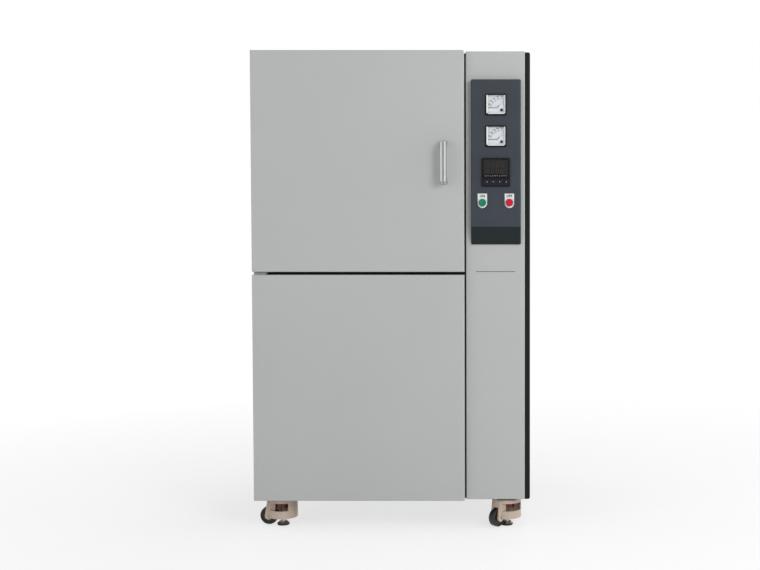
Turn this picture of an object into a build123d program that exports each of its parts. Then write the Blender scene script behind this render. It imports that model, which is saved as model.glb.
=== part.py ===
from build123d import *
import math
import os

# A floor-standing sintering furnace for 1700 degrees: a tall sheet-metal cabinet on levelling casters,
# with a fibre-lined chamber behind an upper door, a control column beside it and the power parts below.
# Millimetres. X runs to the right, Y to the rear, Z up; the origin is on the floor under the middle.

# Overall sizes
cabinet_width = 950.0
cabinet_height = 1540.0
cabinet_depth = 840.0
caster_height = 105.0
handle_stand = 45.0
gland_stand = 20.0

# Sheet metal, tube and clearances
sheet = 1.5
door_sheet = 2.0
bend = 3.0
tube = 30.0
tube_wall = 2.0
running_gap = 0.05
seat_gap = 0.3
cut_over = 1.0

# Front layout, from the left edge and from the door's face
door_width = 725.0
door_height = 752.0
door_depth = 42.0
door_gap = 10.0
column_gap = 5.0
side_depth = 18.0
side_bend = 6.0
front_depth = 45.0
column_step = 25.0
strip_step = 30.0
strip_drop = 3.0
left_panel_step = 3.0
top_depth = 20.0
rear_depth = 15.0
deck_sheet = 3.0

# Furnace insulation and the room kept round it
front_plate = 2.0
casing_wall = 2.0
casing_foot = 20.0
backup_board = 55.0
lining_board = 100.0
mouth_depth = 100.0
side_room = 24.5
terminal_room = 55.0
rear_room = 91.0

# Door plug, its taper and the gasket round it
plug_gap = 5.0
plug_taper = 15.0
plug_board_margin = 50.0
gasket_width = 12.0
gasket_margin = 22.0

# Door hinge pins, inside the door's left edge
hinge_in = 10.0
hinge_back = 33.0
pin_radius = 4.0
bracket_sheet = 5.0
bracket_width = 46.0
bracket_front = 12.0
leaf_sheet = 4.0
leaf_width = 40.0
hinge_notch = 9.0
hinge_notch_width = 60.0
pin_reach = 22.0

# Pull handle
handle_edge = 68.0
handle_up = 372.0
handle_length = 132.0
handle_spread = 8.5
handle_width = 22.0
handle_thick = 12.0
handle_groove = 7.0
handle_groove_depth = 2.5
handle_round = 4.0

# Door magnets
magnet_width = 16.0
magnet_height = 60.0
magnet_edge = 30.0
magnet_spread = 520.0

# Moulded control housing on the column
housing_width = 170.0
housing_height = 560.0
housing_down = 98.0
housing_shift = 2.5
housing_stand = 22.0
housing_wall = 3.0
housing_round = 4.0
chin_height = 62.0
chin_edge = 6.0
aperture_margin = 16.0

# Panel meters
meter_down = 86.0
meter_pitch = 107.0
meter_side = 72.0
meter_stand = 5.0
meter_round = 4.0
meter_body = 66.0
meter_body_depth = 50.0
meter_face = 66.0
meter_face_depth = 10.0
dial_sheet = 0.8
window_sheet = 1.5
window_inset = 0.5
pivot_right = 19.7
pivot_down = 18.5
pivot_pin = 1.5
needle_length = 41.0
needle_width = 1.6
needle_sheet = 0.6
needle_hub = 4.0
needle_rest = 9.0
cover_height = 21.0
cover_flat = 36.0
cover_rise = 10.0

# Temperature controller
controller_down = 315.0
controller_side = 96.0
controller_stand = 7.0
controller_round = 4.0
controller_body = 90.0
controller_body_depth = 80.0
display_width = 84.0
display_height = 60.0
display_up = 12.0
display_recess = 2.0
key_radius = 4.0
key_stand = 0.8
key_pitch = 19.0
key_down = 34.0

# Push buttons and their legend plates
button_down = 418.0
button_spread = 92.0
plate_width = 32.0
plate_height = 49.0
plate_sheet = 1.5
plate_drop = 18.5
button_body = 11.0
collar_radius = 12.9
collar_height = 2.0
cap_radius = 12.2
cap_height = 4.0
cap_round = 1.5
plunger_radius = 5.0
button_travel = 4.0
contact_block = 40.0
contact_depth = 35.0

# Heating elements, their holders and the thermocouple
element_spacing = 50.0
element_rod = 3.0
element_shank = 6.0
element_wall_gap = 22.0
element_floor_gap = 25.0
element_count = 3
shank_gap = 2.0
holder_height = 18.0
holder_width = 34.0
holder_end = 18.0
clamp_radius = 10.0
clamp_height = 14.0
strap_width = 14.0
strap_sheet = 3.0
shank_stand = 42.0
hearth_margin = 45.0
hearth_board = 15.0
sheath_radius = 5.0
sheath_reach = 60.0
sheath_up = 60.0
head_radius = 16.0
head_length = 32.0

# Power parts in the lower bay and beside it
core_width = 260.0
core_height = 230.0
core_depth = 110.0
core_limb = 45.0
coil_wall = 28.0
coil_round = 10.0
core_foot = 20.0
plate_length = 420.0
regulator_height = 220.0
regulator_width = 130.0
heatsink_depth = 60.0
heatsink_base = 8.0
fin_count = 9
fin_sheet = 3.0
regulator_depth = 55.0
rail_height = 35.0
rail_depth = 7.5
breaker_width = 72.0
breaker_height = 85.0
breaker_depth = 62.0
contactor_width = 75.0

# Cooling fan and cable gland in the lower rear cover
fan_side = 120.0
fan_depth = 38.0
fan_bore = 55.0
fan_up = 260.0
fan_right = 210.0
fan_hub = 22.0
fan_blades = 5
blade_gap = 2.0
blade_pitch = 32.0
blade_chord = 19.0
motor_depth = 10.0
fan_shaft = 3.0
gland_right = 330.0
gland_up = 130.0
gland_hex = 21.0
gland_thread = 16.0
gland_bore = 7.5
gland_inside = 18.0

# Vents
vent_length = 130.0
vent_width = 8.0
vent_pitch = 18.0
vent_land = 30.0
louvre_length = 120.0
louvre_height = 12.0
louvre_depth = 5.0
louvre_pitch = 22.0

# Levelling casters
caster_inset_x = 81.0
caster_inset_y = 47.0
caster_plate_side = 92.0
caster_plate_sheet = 4.0
gusset_side = 100.0
gusset_sheet = 6.0
caster_trail = 48.0
wheel_radius = 31.5
wheel_width = 24.0
wheel_lift = 3.0
wheel_axle = 4.0
cheek_wall = 7.0
wheel_side_gap = 1.0
hub_radius = 10.0
boss_radius = 13.0
skirt_radius = 50.0
skirt_wall = 4.0
skirt_low = 30.0
skirt_high = 57.0
window_high = 84.0
window_half = 26.0
head_height = 13.0
head_round = 2.5
race_radius = 34.0
race_height = 8.0
web_height = 8.8
ring_radius = 26.0
ring_low = 64.0
ring_notches = 12
notch_radius = 3.0
stem_radius = 8.0
stem_high = 84.5
pad_radius = 21.0
pad_height = 7.0
cup_height = 6.0
cup_radius = 15.0
foot_up = 8.0
foot_down = 4.0
caster_yaws = {"front_left": 0.0, "front_right": 46.0, "rear_left": -38.0, "rear_right": 205.0}

# Planes that the sizes above fix
left_x = -cabinet_width / 2
right_x = cabinet_width / 2
front_y = -(cabinet_depth + gland_stand - handle_stand) / 2
rear_y = front_y + cabinet_depth
base_z = caster_height
top_z = base_z + cabinet_height
frame_left = left_x + side_depth
frame_right = right_x - side_depth
frame_front = front_y + front_depth
frame_rear = rear_y - rear_depth
frame_top = top_z - top_depth
door_right = left_x + door_width
door_low = top_z - door_height
door_back = front_y + door_depth
lower_top = door_low - door_gap
column_left = door_right + column_gap
column_front = front_y + column_step
mid_left = door_right + column_gap / 2 - tube / 2
mid_right = mid_left + tube
deck_rail_low = door_low - door_gap / 2 - tube / 2
deck_low = deck_rail_low + tube
deck_top = deck_low + deck_sheet
tray_low = base_z + tube
tray_top = tray_low + sheet

# The furnace fills the bay that its frame leaves
casing_x = (frame_left + tube + side_room, mid_left - sheet - side_room)
casing_y = (frame_front + front_plate, frame_rear - tube - rear_room)
casing_z = (deck_top + casing_foot, frame_top - tube - terminal_room)
chamber_front = casing_y[0] + mouth_depth
chamber_x = tuple(
    edge + way * (casing_wall + backup_board + lining_board) for edge, way in zip(casing_x, (1, -1))
)
chamber_z = tuple(
    edge + way * (casing_wall + backup_board + lining_board) for edge, way in zip(casing_z, (1, -1))
)
chamber_y = (chamber_front, casing_y[1] - casing_wall - backup_board - lining_board)
hinge_x = left_x + hinge_in
hinge_y = front_y + hinge_back

# The control housing and what it carries
housing_x = (column_left + frame_right) / 2 + housing_shift
housing_top = top_z - housing_down
housing_low = housing_top - housing_height
housing_front = column_front - housing_stand
meter_zs = (housing_top - meter_down, housing_top - meter_down - meter_pitch)
controller_z = housing_top - controller_down
button_z = housing_top - button_down
start_x = housing_x - button_spread / 2
stop_x = housing_x + button_spread / 2
meter_front = housing_front - meter_stand
dial_front = meter_front + meter_face_depth - dial_sheet
needle_front = dial_front - 3 * needle_sheet

# Swivel axes of the casters, by corner
caster_spots = {
    "front_left": (left_x + caster_inset_x, frame_front + caster_inset_y),
    "front_right": (right_x - caster_inset_x, frame_front + caster_inset_y),
    "rear_left": (left_x + caster_inset_x, frame_rear - caster_inset_y),
    "rear_right": (right_x - caster_inset_x, frame_rear - caster_inset_y),
}
axle_z = wheel_radius + wheel_lift
head_low = window_high
head_high = head_low + head_height
race_low = head_low + web_height + 0.2


# Helpers
def block(x, y, z):
    """A box between two corners, given as low and high pairs."""
    sizes = [high - low for low, high in (x, y, z)]
    middle = [(low + high) / 2 for low, high in (x, y, z)]
    return Pos(*middle) * Box(*sizes)


def about(middle, size):
    """The low and high pair of a length centred on a point."""
    return (middle - size / 2, middle + size / 2)


def grown(pair, by):
    """A low and high pair with both ends moved out."""
    return (pair[0] - by, pair[1] + by)


def pan(x, y, z, index, side, wall=sheet, radius=bend):
    """A folded tray with its closed face on one side of an axis and four returns behind it."""
    inner = [grown(pair, -wall) for pair in (x, y, z)]
    low, high = (x, y, z)[index]
    inner[index] = (low + wall, high + cut_over) if side < 0 else (low - cut_over, high - wall)
    return folded(block(x, y, z), index, side, radius) - folded(block(*inner), index, side, radius - wall)


def folded(box, index, side, radius):
    """A box with the edges of one face rounded by a bend."""
    axis = (Axis.X, Axis.Y, Axis.Z)[index]
    closed = box.faces().sort_by(axis)[0 if side < 0 else -1]
    return fillet(closed.edges(), radius)


def square_tube(x, y, z, index):
    """A hollow square tube along one axis."""
    inner = [grown(pair, -tube_wall) for pair in (x, y, z)]
    inner[index] = grown((x, y, z)[index], cut_over)
    return block(x, y, z) - block(*inner)


def group(shapes):
    """Separate solids kept together in one piece."""
    return Compound(children=[solid for shape in shapes for solid in shape.solids()])


def grid(columns, rows, pitch_u, pitch_v):
    """Offsets of a centred grid."""
    across = [(column - (columns - 1) / 2) * pitch_u for column in range(columns)]
    up = [(row - (rows - 1) / 2) * pitch_v for row in range(rows)]
    return [(u, v) for u in across for v in up]


def vents(plane, columns, rows):
    """Cutters for round-ended vent slots, straight through a sheet on the plane."""
    spots = grid(columns, rows, vent_length + vent_land, vent_pitch)
    outline = Sketch() + [plane * Pos(u, v) * SlotOverall(vent_length, vent_width) for u, v in spots]
    return extrude(outline, 2 * sheet, both=True)


def rod(radius, start, end, direction="Z", at=(0, 0)):
    """A round bar between two heights along an axis, at a place on the other two."""
    bar = Cylinder(radius, end - start)
    middle = (start + end) / 2
    if direction == "Z":
        return Pos(at[0], at[1], middle) * bar
    if direction == "Y":
        return Pos(at[0], middle, at[1]) * Rot(90, 0, 0) * bar
    return Pos(middle, at[0], at[1]) * Rot(0, 90, 0) * bar


def tapered(front_x, front_z, front, back_x, back_z, back):
    """A block whose section changes evenly from one rectangle in front to another behind."""
    ends = []
    for pair_x, pair_z, y in ((front_x, front_z, front), (back_x, back_z, back)):
        plane = Plane(origin=(sum(pair_x) / 2, y, sum(pair_z) / 2), x_dir=(1, 0, 0), z_dir=(0, -1, 0))
        ends.append(plane * Rectangle(pair_x[1] - pair_x[0], pair_z[1] - pair_z[0]))
    return loft(Sketch() + ends, ruled=True)


def prism(points, plane, depth):
    """A straight-sided outline on a plane, extruded to one side."""
    return extrude(plane * make_face(Polyline(*points, close=True)), depth)


# Frame and cladding
def cabinet_frame():
    """Square tubes butted at the corners, with plates in the bottom corners for the casters."""
    pieces = []
    heights = (base_z, frame_top)
    front = (frame_front, frame_front + tube)
    rear = (frame_rear - tube, frame_rear)
    left = (frame_left, frame_left + tube)
    middle = (mid_left, mid_right)
    right = (frame_right - tube, frame_right)
    for x, y in ((left, front), (middle, front), (right, front), (left, rear), (right, rear)):
        pieces.append(square_tube(x, y, heights, 2))
    for low in (base_z, deck_rail_low, frame_top - tube):
        z = (low, low + tube)
        pieces.append(square_tube((left[1], middle[0]), front, z, 0))
        pieces.append(square_tube((middle[1], right[0]), front, z, 0))
        pieces.append(square_tube((left[1], right[0]), rear, z, 0))
        for x in (left, middle, right):
            pieces.append(square_tube(x, (front[1], rear[0]), z, 1))
    for x in ((left[1], left[1] + gusset_side), (right[0] - gusset_side, right[0])):
        for y in ((front[1], front[1] + gusset_side), (rear[0] - gusset_side, rear[0])):
            pieces.append(block(x, y, (base_z, base_z + gusset_sheet)))
    return group(pieces)


def on_frame(low, high):
    """A sheet that lies on one level of the frame's rails, notched round the posts."""
    plate = block((frame_left, frame_right), (frame_front, frame_rear), (low, high))
    for x in ((frame_left, frame_left + tube), (frame_right - tube, frame_right)):
        for y in ((frame_front, frame_front + tube), (frame_rear - tube, frame_rear)):
            plate -= block(grown(x, seat_gap), grown(y, seat_gap), grown((low, high), cut_over))
    middle = grown((mid_left, mid_right), seat_gap)
    return plate - block(middle, grown((frame_front, frame_front + tube), seat_gap), grown((low, high), cut_over))


def side_panel(low_x, front, closed):
    """A dark side panel with rounded edges and vents low down and high up."""
    x = (low_x, low_x + side_depth)
    panel = pan(x, (front, rear_y), (base_z, top_z - strip_drop), 0, closed, sheet, side_bend)
    face_x = x[0] if closed < 0 else x[1]
    middle_y = (frame_front + frame_rear) / 2
    for z in (base_z + 220, top_z - 200):
        plane = Plane(origin=(face_x, middle_y, z), x_dir=(0, 1, 0), z_dir=(1, 0, 0))
        panel -= vents(plane, 2, 5)
    return panel


def top_cover():
    """The lid, with slots that let the heat of the element terminals out."""
    x, y = (frame_left, frame_right), (frame_front, rear_y - rear_depth)
    cover = pan(x, y, (frame_top, top_z - strip_drop), 2, 1)
    plane = Plane(origin=(sum(casing_x) / 2, sum(casing_y) / 2, top_z - strip_drop))
    return cover - vents(plane, 3, 5)


def louvre_profile(points):
    """A louvre's section, drawn outwards and up from the cover's outside face."""
    return Plane.YZ * make_face(Polyline(*points, close=True))


def louvres(cover, x_middle, z_middle, columns, rows):
    """Presses louvres that open downwards out of a rear cover."""
    inner_height = louvre_height - 2 * sheet
    inner_depth = louvre_depth - sheet
    hood = louvre_profile([(0, 0), (louvre_depth, 0), (louvre_depth, sheet), (0, louvre_height)])
    hollow = louvre_profile(
        [
            (-sheet - cut_over, 0),
            (0, 0),
            (0, -cut_over),
            (inner_depth, -cut_over),
            (inner_depth, sheet),
            (0, inner_height),
            (-sheet - cut_over, inner_height),
        ]
    )
    hood = extrude(hood, louvre_length / 2, both=True)
    hollow = extrude(hollow, louvre_length / 2 - sheet, both=True)
    spots = grid(columns, rows, louvre_length + 40, louvre_pitch)
    places = [Pos(x_middle + u, rear_y, z_middle + v) for u, v in spots]
    for place in places:
        cover += place * hood
    for place in places:
        cover -= place * hollow
    return cover


def rear_covers():
    """The upper and lower rear covers, the lower with the fan's guard and the cable gland's hole."""
    x = (frame_left, frame_right)
    y = (frame_rear, rear_y)
    upper = pan(x, y, (door_low, top_z - strip_drop), 1, 1)
    lower = pan(x, y, (base_z, door_low - seat_gap), 1, 1)
    upper = louvres(upper, 0, top_z - 150, 4, 7)
    lower = louvres(lower, -170, base_z + 260, 2, 9)
    fan_at = (fan_right, base_z + fan_up)
    guard = Sketch()
    for outer in (fan_bore, fan_bore * 0.72, fan_bore * 0.44):
        guard += Circle(outer) - Circle(outer - 9)
    guard -= Rectangle(4 * fan_bore, 4)
    guard -= Rectangle(4, 4 * fan_bore)
    rings = extrude(guard, 2 * rear_depth, both=True)
    lower -= Pos(fan_at[0], rear_y, fan_at[1]) * Rot(90, 0, 0) * rings
    lower -= rod(gland_thread + seat_gap, rear_y - 2 * sheet, rear_y + 2 * sheet, "Y", (gland_right, base_z + gland_up))
    return group([upper, lower])


def bottom_tray():
    """The floor of the power bay, with air slots."""
    tray = on_frame(tray_low, tray_top)
    plane = Plane(origin=((frame_left + mid_left) / 2, (frame_front + frame_rear) / 2, tray_low))
    return tray - vents(plane, 2, 5)


def inner_partitions():
    """The deck under the furnace and the heat shield beside the control column."""
    deck = on_frame(deck_low, deck_top)
    shield = block(
        (mid_left - sheet, mid_left),
        (frame_front + tube, frame_rear - tube),
        (deck_top, frame_top - tube),
    )
    return group([deck, shield])


def lower_front_panel():
    """The plain panel under the door."""
    return pan((left_x, door_right), (front_y, frame_front), (base_z, lower_top), 1, -1)


def control_column():
    """The full-height cover beside the door, cut out behind the control housing."""
    x, y = (column_left, frame_right), (column_front, frame_front)
    cover = pan(x, y, (base_z, top_z), 1, -1)
    opening_x = about(housing_x, housing_width - 2 * aperture_margin)
    opening_z = (housing_low + chin_height + aperture_margin, housing_top - aperture_margin)
    return cover - block(opening_x, about(column_front, 4 * sheet), opening_z)


# Control housing and instruments
def control_housing():
    """A moulded shell that stands proud of the column, with a chin that slopes back at its foot."""
    x = about(housing_x, housing_width)
    outline = [
        (column_front, housing_low),
        (column_front, housing_top),
        (housing_front, housing_top),
        (housing_front, housing_low + chin_height),
        (column_front - chin_edge, housing_low),
    ]
    plane = Plane(origin=(x[0], 0, 0), x_dir=(0, 1, 0), z_dir=(1, 0, 0))
    shell = prism(outline, plane, housing_width)
    rounded = [edge for edge in shell.edges() if edge.center().Y < column_front - chin_edge / 3]
    shell = fillet(rounded, housing_round)
    inner = [
        (column_front + cut_over, housing_low + housing_wall),
        (column_front + cut_over, housing_top - housing_wall),
        (housing_front + housing_wall, housing_top - housing_wall),
        (housing_front + housing_wall, housing_low + chin_height),
        (column_front - chin_edge + housing_wall, housing_low + housing_wall),
    ]
    plane = Plane(origin=(x[0] + housing_wall, 0, 0), x_dir=(0, 1, 0), z_dir=(1, 0, 0))
    shell -= prism(inner, plane, housing_width - 2 * housing_wall)
    skin = about(housing_front + housing_wall / 2, 3 * housing_wall)
    for z in meter_zs:
        shell -= block(about(housing_x, meter_body + seat_gap), skin, about(z, meter_body + seat_gap))
    hole = controller_body + seat_gap
    shell -= block(about(housing_x, hole), skin, about(controller_z, hole))
    for x in (start_x, stop_x):
        shell -= rod(button_body + seat_gap, skin[0], skin[1], "Y", (x, button_z))
    return shell


def bezel(z, side, radius, stand):
    """A square instrument front with rounded corners and a softened outer edge."""
    plane = Plane(origin=(housing_x, housing_front, z), x_dir=(1, 0, 0), z_dir=(0, -1, 0))
    front = extrude(plane * RectangleRounded(side, side, radius), stand)
    return chamfer(front.faces().sort_by(Axis.Y)[0].edges(), 1.0)


def panel_meters():
    """Two meter cases, each hollow in front for its dial, with the pin that its needle turns on."""
    cases = []
    for z in meter_zs:
        case = bezel(z, meter_side, meter_round, meter_stand)
        body = about(z, meter_body)
        case += block(about(housing_x, meter_body), (housing_front, housing_front + meter_body_depth), body)
        hollow = (meter_front - cut_over, meter_front + meter_face_depth)
        case -= block(about(housing_x, meter_face - 2), hollow, about(z, meter_face - 2))
        pivot = (housing_x + pivot_right, z - pivot_down)
        case += rod(pivot_pin, needle_front - needle_sheet, meter_front + meter_face_depth, "Y", pivot)
        cases.append(case)
    return group(cases)


def meter_dials():
    """The dial plates, and the white corner covers over the needles' pivots."""
    plates = []
    half = meter_face / 2 - 1
    back = meter_front + meter_face_depth
    for z in meter_zs:
        pivot = (housing_x + pivot_right, z - pivot_down)
        dial = block(about(housing_x, 2 * half), (dial_front, back), about(z, 2 * half))
        plates.append(dial - rod(pivot_pin, dial_front - cut_over, back + cut_over, "Y", pivot))
        outline = [
            (housing_x - half, z - half),
            (housing_x + half, z - half),
            (housing_x + half, z - half + cover_height + cover_rise),
            (housing_x - half + cover_flat + cover_rise, z - half + cover_height + cover_rise),
            (housing_x - half + cover_flat, z - half + cover_height),
            (housing_x - half, z - half + cover_height),
        ]
        plane = Plane(origin=(0, needle_front - 2 * needle_sheet, 0), x_dir=(1, 0, 0), z_dir=(0, -1, 0))
        plates.append(prism(outline, plane, dial_sheet))
    return group(plates)


def display_place():
    """The span of the controller's display window, in X and Z."""
    return about(housing_x, display_width), about(controller_z + display_up, display_height)


def instrument_windows():
    """The clear windows of both meters and the smoked one of the controller."""
    panes = []
    face = meter_face - 2
    for z in meter_zs:
        y = (meter_front + window_inset, meter_front + window_inset + window_sheet)
        panes.append(block(about(housing_x, face), y, about(z, face)))
    x, z = display_place()
    front = housing_front - controller_stand
    panes.append(block(x, (front + window_inset, front + display_recess), z))
    return group(panes)


def temperature_controller():
    """The square controller: bezel, recess for its window, soft keys in one film, and its body."""
    front = housing_front - controller_stand
    case = bezel(controller_z, controller_side, controller_round, controller_stand)
    y = (housing_front, housing_front + controller_body_depth)
    case += block(about(housing_x, controller_body), y, about(controller_z, controller_body))
    x, z = display_place()
    case -= block(x, (front - cut_over, front + display_recess), z)
    for number in range(4):
        key_x = housing_x + (number - 1.5) * key_pitch
        place = Pos(key_x, front, controller_z - key_down) * Rot(90, 0, 0)
        case += place * Cone(key_radius, key_radius - key_stand, key_stand, align=(Align.CENTER, Align.CENTER, Align.MIN))
    return case


def legend_plates():
    """White plates behind the buttons, square above and round below."""
    plates = []
    for x in (start_x, stop_x):
        low = button_z - plate_drop
        bottom = low + plate_width / 2
        plane = Plane(origin=(x, housing_front, 0), x_dir=(1, 0, 0), z_dir=(0, -1, 0))
        outline = Pos(0, bottom + (plate_height - plate_width / 2) / 2) * Rectangle(plate_width, plate_height - plate_width / 2)
        outline += Pos(0, bottom) * Circle(plate_width / 2)
        outline -= Pos(0, button_z) * Circle(button_body + seat_gap)
        plates.append(extrude(plane * outline, plate_sheet))
    return group(plates)


def button_bodies():
    """Each button's collar, threaded body, nut and contact block, bored for the plunger."""
    bodies = []
    for x in (start_x, stop_x):
        at = (x, button_z)
        back = housing_front + housing_wall
        body = rod(collar_radius, housing_front - plate_sheet - collar_height, housing_front - plate_sheet, "Y", at)
        body += rod(button_body, housing_front - plate_sheet, back + 12, "Y", at)
        body += rod(button_body + 3, back, back + 4, "Y", at)
        contact_z = about(button_z, contact_block)
        body += block(about(x, contact_block * 0.75), (back + 12, back + 12 + contact_depth), contact_z)
        bore_end = housing_front + button_travel + 10
        body -= rod(plunger_radius + running_gap, housing_front - 10, bore_end, "Y", at)
        bodies.append(body)
    return group(bodies)


def push_button(x):
    """A cap with its plunger; it travels straight back into its body."""
    at = (x, button_z)
    seat = housing_front - plate_sheet - collar_height - button_travel - seat_gap
    cap = rod(cap_radius, seat - cap_height, seat, "Y", at)
    cap = fillet(cap.faces().sort_by(Axis.Y)[0].edges(), cap_round)
    return cap + rod(plunger_radius, seat, housing_front + 8, "Y", at)


def meter_needle(z):
    """A thin pointer on its hub, with a short tail that balances it."""
    pivot_x, pivot_z = housing_x + pivot_right, z - pivot_down
    y = (needle_front, needle_front + needle_sheet)
    blade = block((-needle_length, needle_hub * 1.6), y, (-needle_width / 2, needle_width / 2))
    blade -= block((-needle_length - cut_over, -needle_length + 6), grown(y, cut_over), (0.4, needle_width))
    blade -= block((-needle_length - cut_over, -needle_length + 6), grown(y, cut_over), (-needle_width, -0.4))
    hub = rod(needle_hub, y[0], y[1] + needle_sheet, "Y")
    needle = blade + hub - rod(pivot_pin + running_gap, y[0] - cut_over, y[1] + 2, "Y")
    return Pos(pivot_x, 0, pivot_z) * Rot(0, needle_rest, 0) * needle


# Furnace
def furnace_casing():
    """The steel box round the insulation, open in front, on two feet; its parts are welded plates."""
    x, y, z = casing_x, casing_y, casing_z
    inner_x, inner_z = grown(x, -casing_wall), grown(z, -casing_wall)
    middle_x, middle_z = sum(x) / 2, sum(z) / 2
    top = block(x, y, (inner_z[1], z[1]))
    for at in shank_places():
        top -= rod(element_shank + 3 * shank_gap, inner_z[1] - 5, z[1] + 5, "Z", at)
    back = block(inner_x, (y[1] - casing_wall, y[1]), inner_z)
    back -= rod(sheath_radius + shank_gap, y[1] - 10, y[1] + 10, "Y", (middle_x, middle_z + sheath_up))
    plates = [
        top,
        back,
        block(x, y, (z[0], inner_z[0])),
        block((x[0], inner_x[0]), y, inner_z),
        block((inner_x[1], x[1]), y, inner_z),
    ]
    foot_y = (y[0] + 40, y[1] - 40)
    for foot_x in (x[0] + 90, x[1] - 90):
        plates.append(pan(about(foot_x, 50), foot_y, (deck_top, z[0]), 2, 1))
    return group(plates)


def shank_places():
    """Where each element leg passes through the roof, in X and Y."""
    places = []
    for x in (chamber_x[0] + element_wall_gap, chamber_x[1] - element_wall_gap):
        for y in element_rows():
            places += [(x, y - element_spacing / 2), (x, y + element_spacing / 2)]
    return places


def element_rows():
    """The middle of each element along the chamber's depth."""
    step = (chamber_y[1] - chamber_y[0]) / element_count
    return [chamber_y[0] + (number + 0.5) * step for number in range(element_count)]


def boards(inner_x, inner_y, inner_z, thick):
    """Five boards round a space that is open in front: floor, roof, left, right and back."""
    outer_x, outer_z = grown(inner_x, thick), grown(inner_z, thick)
    full_y = (inner_y[0], inner_y[1] + thick)
    roof = block(outer_x, full_y, (inner_z[1], outer_z[1]))
    for at in shank_places():
        roof -= rod(element_shank + shank_gap, inner_z[1] - 1, outer_z[1] + 1, "Z", at)
    back = block(inner_x, (inner_y[1], full_y[1]), inner_z)
    sheath_at = (sum(inner_x) / 2, sum(inner_z) / 2 + sheath_up)
    back -= rod(sheath_radius + shank_gap, inner_y[1] - 1, full_y[1] + 1, "Y", sheath_at)
    return [
        block(outer_x, full_y, (outer_z[0], inner_z[0])),
        roof,
        block((outer_x[0], inner_x[0]), full_y, inner_z),
        block((inner_x[1], outer_x[1]), full_y, inner_z),
        back,
    ]


def backup_insulation():
    """The outer layer of fibre board."""
    inner_y = (chamber_y[0], chamber_y[1] + lining_board)
    return group(boards(grown(chamber_x, lining_board), inner_y, grown(chamber_z, lining_board), backup_board))


def mouth_opening(extra):
    """The chamber mouth's spans at the front and back of its taper, widened by a margin."""
    back = (grown(chamber_x, plug_gap + extra), grown(chamber_z, plug_gap + extra))
    front = (grown(back[0], plug_taper), grown(back[1], plug_taper))
    return front, back


def chamber_lining():
    """The hot-face fibre boards and the four blocks that frame the tapered mouth."""
    inner_x, inner_z = grown(casing_x, -casing_wall), grown(casing_z, -casing_wall)
    (front_x, front_z), (back_x, back_z) = mouth_opening(0)
    y = (casing_y[0], chamber_front)
    mouth = [
        tapered(inner_x, (front_z[1], inner_z[1]), y[0], inner_x, (back_z[1], inner_z[1]), y[1]),
        tapered(inner_x, (inner_z[0], front_z[0]), y[0], inner_x, (inner_z[0], back_z[0]), y[1]),
        tapered((inner_x[0], front_x[0]), front_z, y[0], (inner_x[0], back_x[0]), back_z, y[1]),
        tapered((front_x[1], inner_x[1]), front_z, y[0], (back_x[1], inner_x[1]), back_z, y[1]),
    ]
    return group(boards(chamber_x, chamber_y, chamber_z, lining_board) + mouth)


def hearth_plate():
    """The loose alumina plate that the ware stands on."""
    y = grown(chamber_y, -hearth_margin / 2)
    plate = block(grown(chamber_x, -hearth_margin), y, (chamber_z[0], chamber_z[0] + hearth_board))
    return fillet(plate.edges().filter_by(Axis.Z), 8)


def heating_element():
    """One hairpin in the YZ plane, hanging from the chamber's roof at Z 0, with thick cold ends."""
    leg = element_spacing / 2
    drop = chamber_z[1] - chamber_z[0] - element_floor_gap - leg
    neck = 2 * element_shank
    path = Line((0, -leg, -neck), (0, -leg, -drop))
    path += ThreePointArc((0, -leg, -drop), (0, 0, -drop - leg), (0, leg, -drop))
    path += Line((0, leg, -drop), (0, leg, -neck))
    element = sweep(Pos(0, -leg, -neck) * Circle(element_rod), path)
    rise = lining_board + backup_board + casing_wall + shank_stand
    for y in (-leg, leg):
        cone = Cone(element_rod, element_shank, neck, align=(Align.CENTER, Align.CENTER, Align.MAX))
        element += Pos(0, y, 0) * cone
        element += rod(element_shank, 0, rise, "Z", (0, y))
    return element


def element_places():
    """Where each hairpin hangs, in X and Y."""
    sides = (chamber_x[0] + element_wall_gap, chamber_x[1] - element_wall_gap)
    return [(x, y) for x in sides for y in element_rows()]


def heating_elements():
    """All the hairpins, in two rows along the chamber's sides."""
    hairpin = heating_element()
    return group([Pos(x, y, chamber_z[1]) * hairpin for x, y in element_places()])


def element_terminals():
    """Above the roof: a ceramic holder for each hairpin, and clamps with straps that link them."""
    pieces = []
    low = casing_z[1]
    for x, y in element_places():
        holder = block(about(x, holder_width), about(y, element_spacing + 2 * holder_end), (low, low + holder_height))
        for leg in (-element_spacing / 2, element_spacing / 2):
            holder -= rod(element_shank + running_gap, low - 1, low + holder_height + 1, "Z", (x, y + leg))
        pieces.append(holder)
    clamp_z = (low + holder_height, low + holder_height + clamp_height)
    rows = element_rows()
    for x in (chamber_x[0] + element_wall_gap, chamber_x[1] - element_wall_gap):
        ends = [rows[0] - element_spacing / 2]
        links = [(ends[0], ends[0])]
        links += [(a + element_spacing / 2, b - element_spacing / 2) for a, b in zip(rows, rows[1:])]
        links.append((rows[-1] + element_spacing / 2, rows[-1] + element_spacing / 2))
        for start, end in links:
            strap = block(about(x, strap_width), (start, end + 0.01), (clamp_z[0] + 5, clamp_z[0] + 5 + strap_sheet))
            for y in sorted({start, end}):
                strap += rod(clamp_radius, clamp_z[0], clamp_z[1], "Z", (x, y))
            for y in sorted({start, end}):
                strap -= rod(element_shank + running_gap, clamp_z[0] - 1, clamp_z[1] + 1, "Z", (x, y))
            pieces.append(strap)
    return group(pieces)


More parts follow.
